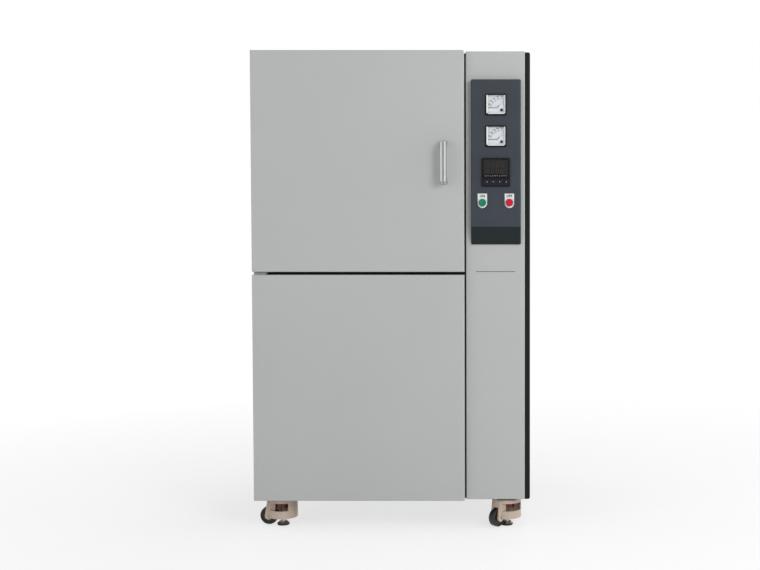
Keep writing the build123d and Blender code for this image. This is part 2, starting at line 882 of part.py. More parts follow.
def thermocouple():
    """The ceramic sheath through the back of the chamber and its connection head."""
    at = ((chamber_x[0] + chamber_x[1]) / 2, (chamber_z[0] + chamber_z[1]) / 2 + sheath_up)
    probe = rod(sheath_radius, chamber_y[1] - sheath_reach, casing_y[1], "Y", at)
    head = rod(head_radius, casing_y[1], casing_y[1] + head_length, "Y", at)
    return group([probe, fillet(head.faces().sort_by(Axis.Y)[-1].edges(), 3)])


def furnace_front_plate():
    """The stainless plate round the mouth, between the posts and rails."""
    (front_x, front_z), _ = mouth_opening(2)
    x = (frame_left + tube, mid_left)
    z = (deck_top, frame_top - tube)
    plate = block(x, (frame_front, frame_front + front_plate), z)
    return plate - block(front_x, about(frame_front, 10), front_z)


def door_magnets():
    """Two flat magnets that hold the door shut against the mouth's plate."""
    x = (mid_left - magnet_edge - magnet_width, mid_left - magnet_edge)
    middle = (door_low + top_z) / 2
    y = (door_back + seat_gap, frame_front)
    bars = [block(x, y, about(middle + way * magnet_spread / 2, magnet_height)) for way in (-1, 1)]
    return group(bars)


# Door
def door_skin():
    """The door's folded outer pan, with a corner cleared for the upper hinge bracket."""
    x, z = (left_x, door_right), (door_low, top_z)
    skin = pan(x, (front_y, door_back), z, 1, -1, door_sheet)
    notch_y = (front_y + bracket_front, door_back + cut_over)
    skin -= block((left_x - cut_over, left_x + hinge_notch_width), notch_y, (top_z - hinge_notch, top_z + cut_over))
    return skin - rod(pin_radius + seat_gap, door_low - 5, door_low + 5, "Z", (hinge_x, hinge_y))


def door_liner():
    """The inner sheet that closes the pan, cut out for the plug."""
    x = grown((left_x, door_right), -door_sheet)
    z = (door_low + door_sheet, top_z - door_sheet)
    liner = block(x, (door_back - sheet, door_back), z)
    liner -= block((x[0] - cut_over, left_x + hinge_notch_width), about(door_back, 10), (top_z - hinge_notch, top_z))
    front, _ = plug_spans()
    return liner - block(grown(front[0], 0.5), about(door_back, 10), grown(front[1], 0.5))


def plug_spans():
    """The plug's spans where it leaves the door and at its tip."""
    tip = (chamber_x, chamber_z)
    root = (grown(chamber_x, plug_taper), grown(chamber_z, plug_taper))
    return root, tip


def door_plug():
    """The fibre board inside the door and the tapered plug that fills the chamber's mouth."""
    root, tip = plug_spans()
    inside = (front_y + door_sheet, door_back - sheet)
    board = block(grown(root[0], plug_board_margin), inside, grown(root[1], plug_board_margin))
    plug = tapered(root[0], root[1], inside[1], tip[0], tip[1], chamber_front - plug_gap)
    return group([board, plug])


def door_gasket():
    """A flat ring of fibre rope round the plug, which meets the mouth's plate."""
    root, _ = plug_spans()
    y = (door_back, frame_front - seat_gap)
    inner = grown(root[0], gasket_margin), grown(root[1], gasket_margin)
    outer = block(grown(inner[0], gasket_width), y, grown(inner[1], gasket_width))
    outer = fillet(outer.edges().filter_by(Axis.Y), 14)
    return outer - block(inner[0], grown(y, cut_over), inner[1])


def door_handle():
    """A pull handle: a grooved grip carried clear of the door on two splayed legs."""
    x = door_right - handle_edge
    middle = door_low + handle_up
    half = handle_length / 2
    back = -handle_stand + handle_thick
    foot = half + handle_spread
    outline = [
        (0, -foot),
        (-handle_stand, -half),
        (-handle_stand, half),
        (0, foot),
        (0, foot - handle_thick),
        (back, half - handle_thick),
        (back, -half + handle_thick),
        (0, -foot + handle_thick),
    ]
    plane = Plane(origin=(x - handle_width / 2, front_y, middle), x_dir=(0, 1, 0), z_dir=(1, 0, 0))
    handle = prism(outline, plane, handle_width)
    soft = [edge for edge in handle.edges() if edge.center().Y < front_y - 1]
    handle = fillet([edge for edge in soft if abs(edge.length - handle_width) < 0.01], handle_round)
    outer = handle.faces().sort_by(Axis.Y)[0]
    handle = fillet(outer.edges(), 1.5)
    face = front_y - handle_stand
    groove = block(about(x, handle_groove), (face - cut_over, face + handle_groove_depth), about(middle, handle_length - 10))
    return handle - groove


def hinge_leaves():
    """Two plates inside the door's left corners that the pins turn in."""
    x = (left_x + door_sheet, left_x + door_sheet + leaf_width)
    y = (front_y + door_sheet + bend, door_back - sheet)
    leaves = []
    for low in (door_low + door_sheet, top_z - hinge_notch - leaf_sheet):
        leaf = block(x, y, (low, low + leaf_sheet))
        leaf -= rod(pin_radius + running_gap, low - 1, low + leaf_sheet + 1, "Z", (hinge_x, hinge_y))
        leaves.append(leaf)
    return group(leaves)


def hinge_brackets():
    """The frame's two hinge arms, one in the gap under the door and one in the door's upper corner."""
    arms = []
    outline_x = (left_x + 2, left_x + bracket_width)
    y = (front_y + bracket_front + 5, frame_front)
    low_z = (door_low - door_gap + seat_gap, door_low - 1)
    arm = block(outline_x, y, low_z)
    arm += rod(2 * pin_radius, low_z[1], door_low - running_gap, "Z", (hinge_x, hinge_y))
    arm += rod(pin_radius, low_z[1], door_low + pin_reach, "Z", (hinge_x, hinge_y))
    arms.append(arm)
    high_z = (top_z - hinge_notch + 1, top_z - hinge_notch + 1 + bracket_sheet)
    arm = block(outline_x, y, high_z)
    arm += rod(pin_radius, top_z - hinge_notch - pin_reach, high_z[0], "Z", (hinge_x, hinge_y))
    arms.append(arm)
    rounded = []
    for arm in arms:
        corner = [e for e in arm.edges().filter_by(Axis.Z) if abs(e.center().Y - y[0]) < 0.1]
        rounded.append(fillet(corner, 4))
    return group(rounded)


# Power parts
def transformer():
    """A core of stacked sheets with a coil on its middle limb, on two feet."""
    x = about((frame_left + mid_left) / 2, core_width)
    y = about((frame_front + frame_rear) / 2, core_depth)
    z = (tray_top + core_foot, tray_top + core_foot + core_height)
    middle = sum(x) / 2
    window_width = (core_width - 3 * core_limb) / 2
    core = block(x, y, z)
    for way in (-1, 1):
        window_x = about(middle + way * (core_limb + window_width) / 2, window_width)
        core -= block(window_x, grown(y, cut_over), grown(z, -core_limb))
    coil_x = about(middle, core_limb + 2 * coil_wall)
    coil = block(coil_x, grown(y, coil_wall), grown(z, -core_limb - 2))
    coil = fillet(coil.edges().filter_by(Axis.Z), coil_round)
    coil -= block(about(middle, core_limb), y, z)
    feet = [block(grown(x, 15), about(end, 30), (tray_top, z[0])) for end in (y[0] + 25, y[1] - 25)]
    return group([core, coil] + feet)


def plate_face():
    """The X of the mounting plate's outer face."""
    return mid_right + 2


def mounting_plate():
    """The upright plate beside the column's rails, with two mounting rails for the switchgear."""
    y = about((frame_front + frame_rear) / 2, plate_length)
    plate = block((mid_right, plate_face()), y, (tray_top, deck_low - 5))
    rails = []
    for z in rail_heights():
        rail = block((plate_face(), plate_face() + rail_depth), y, about(z, rail_height))
        groove = block((plate_face() + 1, plate_face() + rail_depth + 1), grown(y, 1), about(z, rail_height - 10))
        rails.append(rail - groove)
    return group([plate] + rails)


def rail_heights():
    """The middle height of each mounting rail."""
    return (deck_low - 150, deck_low - 290)


def power_regulator():
    """The regulator: a finned heatsink on the plate, with its power block in front."""
    middle_y = (frame_front + frame_rear) / 2
    low = base_z + 120
    x0 = plate_face()
    z = (low, low + regulator_height)
    y = about(middle_y, regulator_width)
    sink = block((x0, x0 + heatsink_base), y, z)
    step = (regulator_width - fin_sheet) / (fin_count - 1)
    for number in range(fin_count):
        start = y[0] + number * step
        sink += block((x0, x0 + heatsink_depth), (start, start + fin_sheet), z)
    cover_x = (x0 + heatsink_depth, x0 + heatsink_depth + regulator_depth)
    cover = block(cover_x, grown(y, -5), grown(z, -15))
    cover = fillet(cover.faces().sort_by(Axis.X)[-1].edges(), 4)
    return group([sink, cover])


def switchgear():
    """The breaker and the contactor on their rails, each with its stepped front."""
    parts = []
    front = plate_face() + rail_depth
    middle_y = (frame_front + frame_rear) / 2
    for z, width, side in zip(rail_heights(), (breaker_width, contactor_width), (-1, 1)):
        y = about(middle_y + side * 60, width)
        body = block((front, front + breaker_depth * 0.7), y, about(z, breaker_height))
        body += block((front, front + breaker_depth), y, about(z, breaker_height * 0.55))
        parts.append(body)
    return group(parts)


def fan_housing():
    """The square fan frame, its motor mount and the four struts that carry the mount."""
    middle = (fan_right, base_z + fan_up)
    y = (rear_y - sheet - fan_depth, rear_y - sheet)
    frame = block(about(middle[0], fan_side), y, about(middle[1], fan_side))
    frame = fillet(frame.edges().filter_by(Axis.Y), 6)
    frame -= rod(fan_bore, y[0] - 1, y[1] + 1, "Y", middle)
    mount_y = (y[0], y[0] + motor_depth)
    mount = rod(fan_hub, mount_y[0], mount_y[1], "Y", middle)
    mount -= rod(fan_shaft + running_gap, mount_y[0] - 1, mount_y[1] + 1, "Y", middle)
    for turn in range(4):
        strut = Pos(middle[0], 0, middle[1]) * Rot(0, 45 + 90 * turn, 0)
        strut *= block((fan_hub - 1, fan_bore + 1), (mount_y[0], mount_y[0] + 4), (-3, 3))
        mount += strut
    return frame + mount


def fan_rotor():
    """The hub, its shaft in the motor mount and the pitched blades."""
    middle = (fan_right, base_z + fan_up)
    start = rear_y - sheet - fan_depth + motor_depth + 1
    end = rear_y - sheet - 3
    hub = rod(fan_hub, start, end, "Y")
    hub = fillet(hub.faces().sort_by(Axis.Y)[-1].edges(), 3)
    rotor = hub + rod(fan_shaft, start - motor_depth + 1, start, "Y")
    blade = block((fan_hub - 2, fan_bore - blade_gap), about(0, blade_chord), (-1, 1))
    for turn in range(fan_blades):
        place = Pos(0, (start + end) / 2, 0) * Rot(0, 360 / fan_blades * turn, 0) * Rot(blade_pitch, 0, 0)
        rotor += place * blade
    return Pos(middle[0], 0, middle[1]) * rotor


def cable_gland():
    """The gland for the mains lead: hexagon and dome outside, thread and nut inside."""
    at = (gland_right, base_z + gland_up)
    outside = (rear_y, rear_y + gland_stand)
    hexagon = extrude(RegularPolygon(gland_hex, 6), gland_stand * 0.5)
    body = Pos(at[0], outside[0], at[1]) * Rot(-90, 0, 0) * hexagon
    dome = rod(gland_thread, outside[0], outside[1], "Y", at)
    body += fillet(dome.faces().sort_by(Axis.Y)[-1].edges(), 5)
    body += rod(gland_thread, rear_y - gland_inside, rear_y, "Y", at)
    nut = extrude(RegularPolygon(gland_hex, 6), 6)
    body += Pos(at[0], rear_y - sheet, at[1]) * Rot(90, 0, 0) * nut
    return body - rod(gland_bore, rear_y - gland_inside - 1, outside[1] + 1, "Y", at)


# Levelling casters, each drawn about its swivel axis with its wheel towards -X
def caster_top():
    """The mounting plate with the fixed race of the swivel bearing under it."""
    low = caster_height - caster_plate_sheet
    plate = extrude(RectangleRounded(caster_plate_side, caster_plate_side, 8), caster_plate_sheet)
    return Pos(0, 0, low) * plate + rod(race_radius, race_low, low)


def cheek_outline():
    """The side view of one fork cheek, from the head down to the axle boss."""
    behind = -caster_trail - boss_radius
    points = [
        (behind + 8, head_low + 2),
        (-window_half + 2, head_low + 2),
        (-window_half + 2, skirt_high),
        (-caster_trail + boss_radius, axle_z),
        (-caster_trail, axle_z - boss_radius + 2),
        (behind, axle_z),
    ]
    outline = make_face(Polyline(*points, close=True))
    return outline + Pos(-caster_trail, axle_z) * Circle(boss_radius)


def caster_fork():
    """The die-cast swivel body: head, pillar, skirt, two cheeks over the wheel, and the axle bolt."""
    slot_half = wheel_width / 2 + wheel_side_gap
    cheek_out = slot_half + cheek_wall
    head = rod(skirt_radius, head_low, head_high)
    head = fillet(head.edges().sort_by(Axis.Z)[-1], head_round)
    skirt = rod(skirt_radius, skirt_low, skirt_high)
    pillar = rod(skirt_radius, skirt_high, head_low)
    pillar &= block((window_half, skirt_radius + 1), (-skirt_radius, skirt_radius), (skirt_high, head_low))
    shell = skirt + pillar - rod(skirt_radius - skirt_wall, skirt_low - 1, head_low)
    shell -= block((-skirt_radius - 1, 0), (-slot_half, slot_half), (skirt_low - 1, skirt_high + 1))
    body = head + shell
    for side in (-1, 1):
        inner = side * slot_half
        plane = Plane(origin=(0, inner, 0), x_dir=(1, 0, 0), z_dir=(0, -1, 0))
        body += extrude(plane * cheek_outline(), -side * cheek_wall)
    bridge_x = (-caster_trail - boss_radius + 8, -ring_radius - 2)
    body += block(bridge_x, (-cheek_out, cheek_out), (axle_z + wheel_radius + 3, head_high - 2))
    body -= rod(stem_radius + seat_gap, head_low - 1, head_high + 1)
    body -= rod(race_radius + running_gap, race_low - 0.2, head_high + 1)
    axle_at = (-caster_trail, axle_z)
    body -= rod(wheel_axle, -cheek_out - 1, cheek_out + 1, "Y", axle_at)
    axle = rod(wheel_axle, -cheek_out, cheek_out, "Y", axle_at)
    axle -= rod(wheel_axle - 1.4, -cheek_out - 1, -cheek_out + 3, "Y", axle_at)
    return group([body, axle])


def caster_wheel():
    """A solid wheel with a crowned tread, dished sides and a hub that nearly meets the cheeks."""
    half = wheel_width / 2
    hub_half = half + wheel_side_gap - 0.2
    rim = wheel_radius - 6
    profile = [
        (wheel_axle + running_gap, -hub_half),
        (hub_radius, -hub_half),
        (hub_radius, -half + 3),
        (rim, -half + 3),
        (rim, -half),
        (wheel_radius - 2, -half),
        (wheel_radius, -half + 3),
        (wheel_radius, half - 3),
        (wheel_radius - 2, half),
        (rim, half),
        (rim, half - 3),
        (hub_radius, half - 3),
        (hub_radius, hub_half),
        (wheel_axle + running_gap, hub_half),
    ]
    wheel = revolve(make_face(Polyline(*profile, close=True)), Axis.Y)
    return Pos(-caster_trail, 0, axle_z) * wheel


def caster_ring():
    """The ratchet ring that drives the foot's thread, notched round its upper part."""
    high = head_low - seat_gap
    ring = rod(ring_radius, ring_low, high) - rod(stem_radius + running_gap, ring_low - 1, high + 1)
    for number in range(ring_notches):
        turn = 2 * math.pi * number / ring_notches
        at = (ring_radius * math.cos(turn), ring_radius * math.sin(turn))
        ring -= rod(notch_radius, ring_low + 7, high + 1, "Z", at)
    return ring


def caster_foot():
    """The threaded stem, the cup at its foot and the rubber pad under that."""
    stem = rod(stem_radius, pad_height + cup_height, stem_high)
    cup = Cone(pad_radius - 1, cup_radius, cup_height, align=(Align.CENTER, Align.CENTER, Align.MIN))
    pad = rod(pad_radius, 0, pad_height)
    pad = fillet(pad.edges().sort_by(Axis.Z)[0], 1.5)
    return group([stem, Pos(0, 0, pad_height) * cup, pad])


def build_all():
    """Every piece of the furnace by name."""
    pieces = {
        "cabinet_frame": cabinet_frame(),
        "left_side_panel": side_panel(left_x, frame_front + left_panel_step, -1),
        "right_side_panel": side_panel(frame_right, front_y + strip_step, 1),
        "top_cover": top_cover(),
        "rear_covers": rear_covers(),
        "bottom_tray": bottom_tray(),
        "inner_partitions": inner_partitions(),
        "lower_front_panel": lower_front_panel(),
        "control_column": control_column(),
        "control_housing": control_housing(),
        "panel_meters": panel_meters(),
        "meter_dials": meter_dials(),
        "instrument_windows": instrument_windows(),
        "temperature_controller": temperature_controller(),
        "legend_plates": legend_plates(),
        "button_bodies": button_bodies(),
        "start_button": push_button(start_x),
        "stop_button": push_button(stop_x),
        "ammeter_needle": meter_needle(meter_zs[0]),
        "voltmeter_needle": meter_needle(meter_zs[1]),
        "furnace_casing": furnace_casing(),
        "furnace_front_plate": furnace_front_plate(),
        "backup_insulation": backup_insulation(),
        "chamber_lining": chamber_lining(),
        "hearth_plate": hearth_plate(),
        "heating_elements": heating_elements(),
        "element_terminals": element_terminals(),
        "thermocouple": thermocouple(),
        "door_magnets": door_magnets(),
        "hinge_brackets": hinge_brackets(),
        "door_skin": door_skin(),
        "door_liner": door_liner(),
        "door_plug": door_plug(),
        "door_gasket": door_gasket(),
        "door_handle": door_handle(),
        "hinge_leaves": hinge_leaves(),
        "transformer": transformer(),
        "mounting_plate": mounting_plate(),
        "power_regulator": power_regulator(),
        "switchgear": switchgear(),
        "fan_housing": fan_housing(),
        "fan_rotor": fan_rotor(),
        "cable_gland": cable_gland(),
    }
    tops = []
    fork, wheel, ring, foot = caster_fork(), caster_wheel(), caster_ring(), caster_foot()
    for corner, (x, y) in caster_spots.items():
        place = Pos(x, y, 0) * Rot(0, 0, caster_yaws[corner])
        tops.append(Pos(x, y, 0) * caster_top())
        pieces[corner + "_fork"] = place * fork
        pieces[corner + "_wheel"] = place * wheel
        pieces[corner + "_adjuster"] = place * ring
        pieces[corner + "_foot"] = place * foot
    pieces["caster_plates"] = group(tops)
    return pieces


def main():
    os.makedirs("parts", exist_ok=True)
    for name, piece in build_all().items():
        export_step(piece, f"parts/{name}.step")


if __name__ == "__main__":
    main()
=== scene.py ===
import math

import bmesh
import bpy
from mathutils import Matrix, Vector


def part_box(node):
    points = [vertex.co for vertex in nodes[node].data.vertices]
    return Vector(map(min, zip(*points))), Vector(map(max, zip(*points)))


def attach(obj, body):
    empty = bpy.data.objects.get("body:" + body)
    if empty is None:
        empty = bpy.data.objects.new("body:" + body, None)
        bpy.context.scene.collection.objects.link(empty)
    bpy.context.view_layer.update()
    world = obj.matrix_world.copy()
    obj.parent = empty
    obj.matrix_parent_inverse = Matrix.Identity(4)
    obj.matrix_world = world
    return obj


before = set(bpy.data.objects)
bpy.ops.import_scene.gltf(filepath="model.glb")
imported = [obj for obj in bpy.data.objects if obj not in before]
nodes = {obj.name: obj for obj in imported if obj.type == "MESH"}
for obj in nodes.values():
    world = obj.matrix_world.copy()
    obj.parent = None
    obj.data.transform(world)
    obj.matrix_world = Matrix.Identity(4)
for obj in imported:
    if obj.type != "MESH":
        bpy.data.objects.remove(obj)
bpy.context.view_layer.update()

# Places taken from the model's sizes, in metres
door_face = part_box("door_skin")[0].y
door_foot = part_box("door_skin")[0].z
column_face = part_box("control_column")[0].y
casing_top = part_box("furnace_casing")[1].z
housing_low, housing_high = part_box("control_housing")
housing_x = (housing_low.x + housing_high.x) / 2
meter_low, meter_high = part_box("panel_meters")
meter_side = 0.072
meter_zs = (meter_high.z - meter_side / 2, meter_low.z + meter_side / 2)
dial_sheet = 0.0008
dials_low, dials_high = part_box("meter_dials")
dial_half = (dials_high.x - dials_low.x) / 2
dial_front = dials_high.y - dial_sheet
cover_front = dials_low.y
pane_recess = 0.0005
pane_front = meter_low.y + pane_recess
controller_low, controller_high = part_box("temperature_controller")
controller_z = (controller_low.z + controller_high.z) / 2
controller_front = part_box("instrument_windows")[0].y - pane_recess
start_low, start_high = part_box("start_button")
stop_low, stop_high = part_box("stop_button")
button_z = (start_low.z + start_high.z) / 2
button_xs = ((start_low.x + start_high.x) / 2, (stop_low.x + stop_high.x) / 2)
legend_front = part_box("legend_plates")[0].y
corners = ("front_left", "front_right", "rear_left", "rear_right")

# Middle range of a noise texture's values, and a stretch that is the same on each axis
noise_low = 0.3
noise_high = 0.7
even = (1.0, 1.0, 1.0)


# Material helpers
def new_material(name):
    """A named material, its node tree and its shader."""
    material = bpy.data.materials.new(name)
    material.use_nodes = True
    return material, material.node_tree, material.node_tree.nodes["Principled BSDF"]


def place(tree, stretch=even):
    """Positions in the piece's own space, in metres, stretched by axis."""
    coordinates = tree.nodes.new("ShaderNodeTexCoord")
    mapping = tree.nodes.new("ShaderNodeMapping")
    mapping.inputs["Scale"].default_value = stretch
    tree.links.new(coordinates.outputs["Object"], mapping.inputs["Vector"])
    return mapping.outputs["Vector"]


def along(tree, axis):
    """One coordinate of the piece's own space, in metres."""
    split = tree.nodes.new("ShaderNodeSeparateXYZ")
    tree.links.new(place(tree), split.inputs["Vector"])
    return split.outputs[axis]


def noise(tree, scale, detail=3.0, stretch=even):
    """Soft random clouds, from 0 to 1."""
    texture = tree.nodes.new("ShaderNodeTexNoise")
    texture.inputs["Scale"].default_value = scale
    texture.inputs["Detail"].default_value = detail
    tree.links.new(place(tree, stretch), texture.inputs["Vector"])
    return texture.outputs["Fac"]


def bands(tree, scale, axis, distortion):
    """Even stripes across one axis, from 0 to 1."""
    texture = tree.nodes.new("ShaderNodeTexWave")
    texture.bands_direction = axis
    texture.inputs["Scale"].default_value = scale
    texture.inputs["Distortion"].default_value = distortion
    tree.links.new(place(tree), texture.inputs["Vector"])
    return texture.outputs["Fac"]


def ramp(tree, factor, stops):
    """Colours or greys along a factor, as (position, colour) stops."""
    node = tree.nodes.new("ShaderNodeValToRGB")
    elements = node.color_ramp.elements
    for _ in range(len(stops) - 2):
        elements.new(0.5)
    for element, (position, colour) in zip(elements, stops):
        element.position = position
        element.color = (*colour, 1.0)
    tree.links.new(factor, node.inputs["Fac"])
    return node.outputs["Color"]


def two_tones(tree, factor, first, second):
    """Two colours blended over a noise's middle range."""
    return ramp(tree, factor, [(noise_low, first), (noise_high, second)])


def specks(tree, factor, start, full, share):
    """Scattered spots: nought below one level of the noise, and a share above another."""
    return ramp(tree, factor, [(start, (0.0, 0.0, 0.0)), (full, (share, share, share))])


def mapped(tree, factor, start, end, low, high):
    """A factor taken from one span of values to another, and held at the ends."""
    node = tree.nodes.new("ShaderNodeMapRange")
    node.inputs["From Min"].default_value = start
    node.inputs["From Max"].default_value = end
    node.inputs["To Min"].default_value = low
    node.inputs["To Max"].default_value = high
    tree.links.new(factor, node.inputs["Value"])
    return node.outputs["Result"]


def spread(tree, factor, low, high):
    """A noise's middle range taken to a span of values."""
    return mapped(tree, factor, noise_low, noise_high, low, high)


def roughen(tree, shader, factor, low, high):
    """Roughness that wanders between two values with a noise."""
    tree.links.new(spread(tree, factor, low, high), shader.inputs["Roughness"])


def compared(tree, factor, operation, limit):
    """One where a factor lies on the stated side of a limit, and nought elsewhere."""
    node = tree.nodes.new("ShaderNodeMath")
    node.operation = operation
    node.inputs[1].default_value = limit
    tree.links.new(factor, node.inputs[0])
    return node.outputs["Value"]


def mix(tree, factor, first, second):
    """One colour blended into another by a factor."""
    node = tree.nodes.new("ShaderNodeMix")
    node.data_type = "RGBA"
    tree.links.new(factor, node.inputs["Factor"])
    for value, name in ((first, "A"), (second, "B")):
        socket = next(s for s in node.inputs if s.name == name and s.type == "RGBA")
        if isinstance(value, tuple):
            socket.default_value = (*value, 1.0)
        else:
            tree.links.new(value, socket)
    return next(s for s in node.outputs if s.type == "RGBA")


def bump(tree, shader, height, distance):
    """Relief of a height in metres, laid over the relief that the shader already has."""
    node = tree.nodes.new("ShaderNodeBump")
    node.inputs["Distance"].default_value = distance
    node.inputs["Strength"].default_value = 1.0
    tree.links.new(height, node.inputs["Height"])
    previous = shader.inputs["Normal"]
    if previous.is_linked:
        tree.links.new(previous.links[0].from_socket, node.inputs["Normal"])
    tree.links.new(node.outputs["Normal"], shader.inputs["Normal"])


def linear(red, green, blue):
    """A display colour, 0 to 255, as the shader takes it."""
    values = [value / 255 for value in (red, green, blue)]
    return tuple(v / 12.92 if v <= 0.04045 else ((v + 0.055) / 1.055) ** 2.4 for v in values)


def shade(colour, by):
    """A colour made darker or paler."""
    return tuple(min(1.0, value * by) for value in colour)


def surface(name, colour, vary, cloud, rough, grain, relief, metal=0.0, stretch=even, gloss=0.5):
    """A finish with clouded colour, uneven roughness and a fine grain in relief."""
    material, tree, shader = new_material(name)
    shader.inputs["Metallic"].default_value = metal
    shader.inputs["Specular IOR Level"].default_value = gloss
    cloud_detail = 4.0
    grain_detail = 2.0
    wear = grain / 3
    tones = [(0.25, shade(colour, 1 - vary)), (0.5, colour), (0.75, shade(colour, 1 + vary))]
    tree.links.new(ramp(tree, noise(tree, cloud, cloud_detail, stretch), tones), shader.inputs["Base Color"])
    roughen(tree, shader, noise(tree, wear, grain_detail, stretch), *rough)
    bump(tree, shader, noise(tree, grain, grain_detail, stretch), relief)
    return material


# Finishes
def light_paint():
    """Light grey powder coat with a satin gloss: a fine orange peel over the sheet's faint waves."""
    material, tree, shader = new_material("light_paint")
    base = linear(176, 178, 177)
    tones = [(noise_low, shade(base, 0.985)), (0.5, base), (noise_high, shade(base, 1.015))]
    clean = ramp(tree, noise(tree, 2.2), tones)
    dust = specks(tree, noise(tree, 900.0, detail=1.0), start=0.62, full=0.72, share=0.25)
    tree.links.new(mix(tree, dust, clean, shade(base, 0.9)), shader.inputs["Base Color"])
    roughen(tree, shader, noise(tree, 60.0), low=0.36, high=0.44)
    bump(tree, shader, noise(tree, 420.0, detail=2.0), distance=0.00006)
    bump(tree, shader, noise(tree, 3.0, detail=1.0), distance=0.0006)
    return material


def panel_moulding():
    """Slate grey moulding, with near-black painted shade on the chin that turns away below."""
    material, tree, shader = new_material("moulding")
    chin_height = 0.062
    chin_shade_blend = 0.004
    chin_shade_top = housing_low.z + chin_height
    above = mapped(tree, along(tree, "Z"), chin_shade_top - chin_shade_blend, chin_shade_top, 0.0, 1.0)
    face = two_tones(tree, noise(tree, 7.0, detail=4.0), linear(53, 58, 65), linear(57, 62, 69))
    # Below the chin's top the slate colour gives way to painted shade, near black, where the chin faces down
    # away from the lamps
    tree.links.new(mix(tree, above, linear(22, 31, 32), face), shader.inputs["Base Color"])
    shader.inputs["Specular IOR Level"].default_value = 0.22
    roughen(tree, shader, noise(tree, 300.0, detail=2.0), low=0.42, high=0.52)
    bump(tree, shader, noise(tree, 900.0, detail=2.0), distance=0.00006)
    return material


def fibre_board():
    """White ceramic fibre board: soft speckle, short fibres in relief and a faint toasted tint."""
    material, tree, shader = new_material("fibre_board")
    base = linear(240, 236, 226)
    toasted = linear(246, 239, 220)
    clouds = noise(tree, 9.0, detail=5.0)
    board = ramp(tree, clouds, [(0.25, shade(base, 0.9)), (0.55, base), (0.8, toasted)])
    speckle = specks(tree, noise(tree, 260.0), start=0.6, full=0.75, share=0.5)
    tree.links.new(mix(tree, speckle, board, linear(205, 196, 178)), shader.inputs["Base Color"])
    roughen(tree, shader, clouds, low=0.85, high=0.98)
    bump(tree, shader, noise(tree, 180.0, detail=4.0, stretch=(1.0, 3.0, 1.0)), distance=0.0006)
    shader.inputs["Sheen Weight"].default_value = 0.15
    return material


def brushed(name, colour, direction, rough, vary):
    """Sheet metal with fine lines along one axis."""
    stretch = [40.0, 40.0, 40.0]
    stretch[direction] = 0.6
    course = tuple(stretch)
    return surface(
        name,
        colour,
        vary=vary,
        cloud=14.0,
        rough=rough,
        grain=30.0,
        relief=0.000004,
        metal=1.0,
        stretch=course,
    )


def zinc_sheet():
    """Zinc plated sheet with a broad, faint spangle."""
    material, tree, shader = new_material("zinc_sheet")
    cells = tree.nodes.new("ShaderNodeTexVoronoi")
    cells.inputs["Scale"].default_value = 55.0
    tree.links.new(place(tree), cells.inputs["Vector"])
    tones = [(0.1, linear(150, 155, 160)), (0.5, linear(178, 182, 186)), (0.9, linear(196, 199, 202))]
    tree.links.new(ramp(tree, cells.outputs["Color"], tones), shader.inputs["Base Color"])
    roughen(tree, shader, noise(tree, 30.0), low=0.28, high=0.42)
    shader.inputs["Metallic"].default_value = 1.0
    bump(tree, shader, noise(tree, 400.0), distance=0.00004)
    return material


def heated_rod():
    """Heating element: pale metal ends, glassy dark grey where it has been hot."""
    material, tree, shader = new_material("heated_rod")
    cold_above = 0.015
    hot_below = 0.155
    cold_z = casing_top + cold_above
    hot_z = casing_top - hot_below
    heat = mapped(tree, along(tree, "Z"), cold_z, hot_z, 0.0, 1.0)
    tones = [(0.0, linear(190, 190, 188)), (0.12, linear(150, 150, 150)), (0.9, linear(88, 88, 92))]
    tree.links.new(ramp(tree, heat, tones), shader.inputs["Base Color"])
    roughen(tree, shader, noise(tree, 300.0), low=0.18, high=0.34)
    bump(tree, shader, noise(tree, 350.0), distance=0.0001)
    return material


def clear_window():
    """Clear panes over the meters, and a smoked one over the controller's display."""
    material, tree, shader = new_material("clear_window")
    between = (controller_z + meter_zs[1]) / 2
    smoked = compared(tree, along(tree, "Z"), "LESS_THAN", between)
    clear = two_tones(tree, noise(tree, 60.0, detail=4.0), linear(235, 240, 243), linear(250, 252, 252))
    tree.links.new(mix(tree, smoked, clear, linear(9, 8, 10)), shader.inputs["Base Color"])
    clear_alpha, smoked_alpha = 0.1, 0.72
    tree.links.new(mapped(tree, smoked, 0.0, 1.0, clear_alpha, smoked_alpha), shader.inputs["Alpha"])
    roughen(tree, shader, noise(tree, 90.0), low=0.04, high=0.09)
    return material


def grooved_grip():
    """Pull handle: across its width painted shade at the left edge, a pale rib, painted shade in the
    channel, a painted highlight on the right rib, and painted shade at the right edge.
    """
    material, tree, shader = new_material("handle_grey")
    low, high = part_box("door_handle")
    across = mapped(tree, along(tree, "X"), low.x, high.x, 0.0, 1.0)
    # The edge and channel colours are painted shade, and the paler band on the right rib is a painted
    # highlight
    edge = linear(112, 114, 116)
    rib = linear(196, 198, 200)
    groove_shade = linear(150, 153, 156)
    rib_highlight = linear(212, 214, 216)
    tones = [(0.03, edge), (0.1, rib), (0.3, rib), (0.36, groove_shade)]
    tones += [(0.6, groove_shade), (0.66, rib), (0.74, rib_highlight), (0.86, rib_highlight), (0.95, edge)]
    tree.links.new(ramp(tree, across, tones), shader.inputs["Base Color"])
    roughen(tree, shader, noise(tree, 300.0), low=0.3, high=0.4)
    bump(tree, shader, noise(tree, 900.0, detail=2.0), distance=0.00004)
    return material


def windings():
    """Stacked core sheets and a varnished coil: fine bands through the depth."""
    material, tree, shader = new_material("windings")
    sheets = bands(tree, 260.0, "Y", distortion=0.4)
    tones = [(0.0, linear(38, 40, 44)), (0.6, linear(66, 68, 72)), (1.0, linear(96, 92, 86))]
    tree.links.new(ramp(tree, sheets, tones), shader.inputs["Base Color"])
    roughen(tree, shader, noise(tree, 40.0), low=0.3, high=0.5)
    shader.inputs["Metallic"].default_value = 0.4
    bump(tree, shader, sheets, distance=0.0002)
    return material


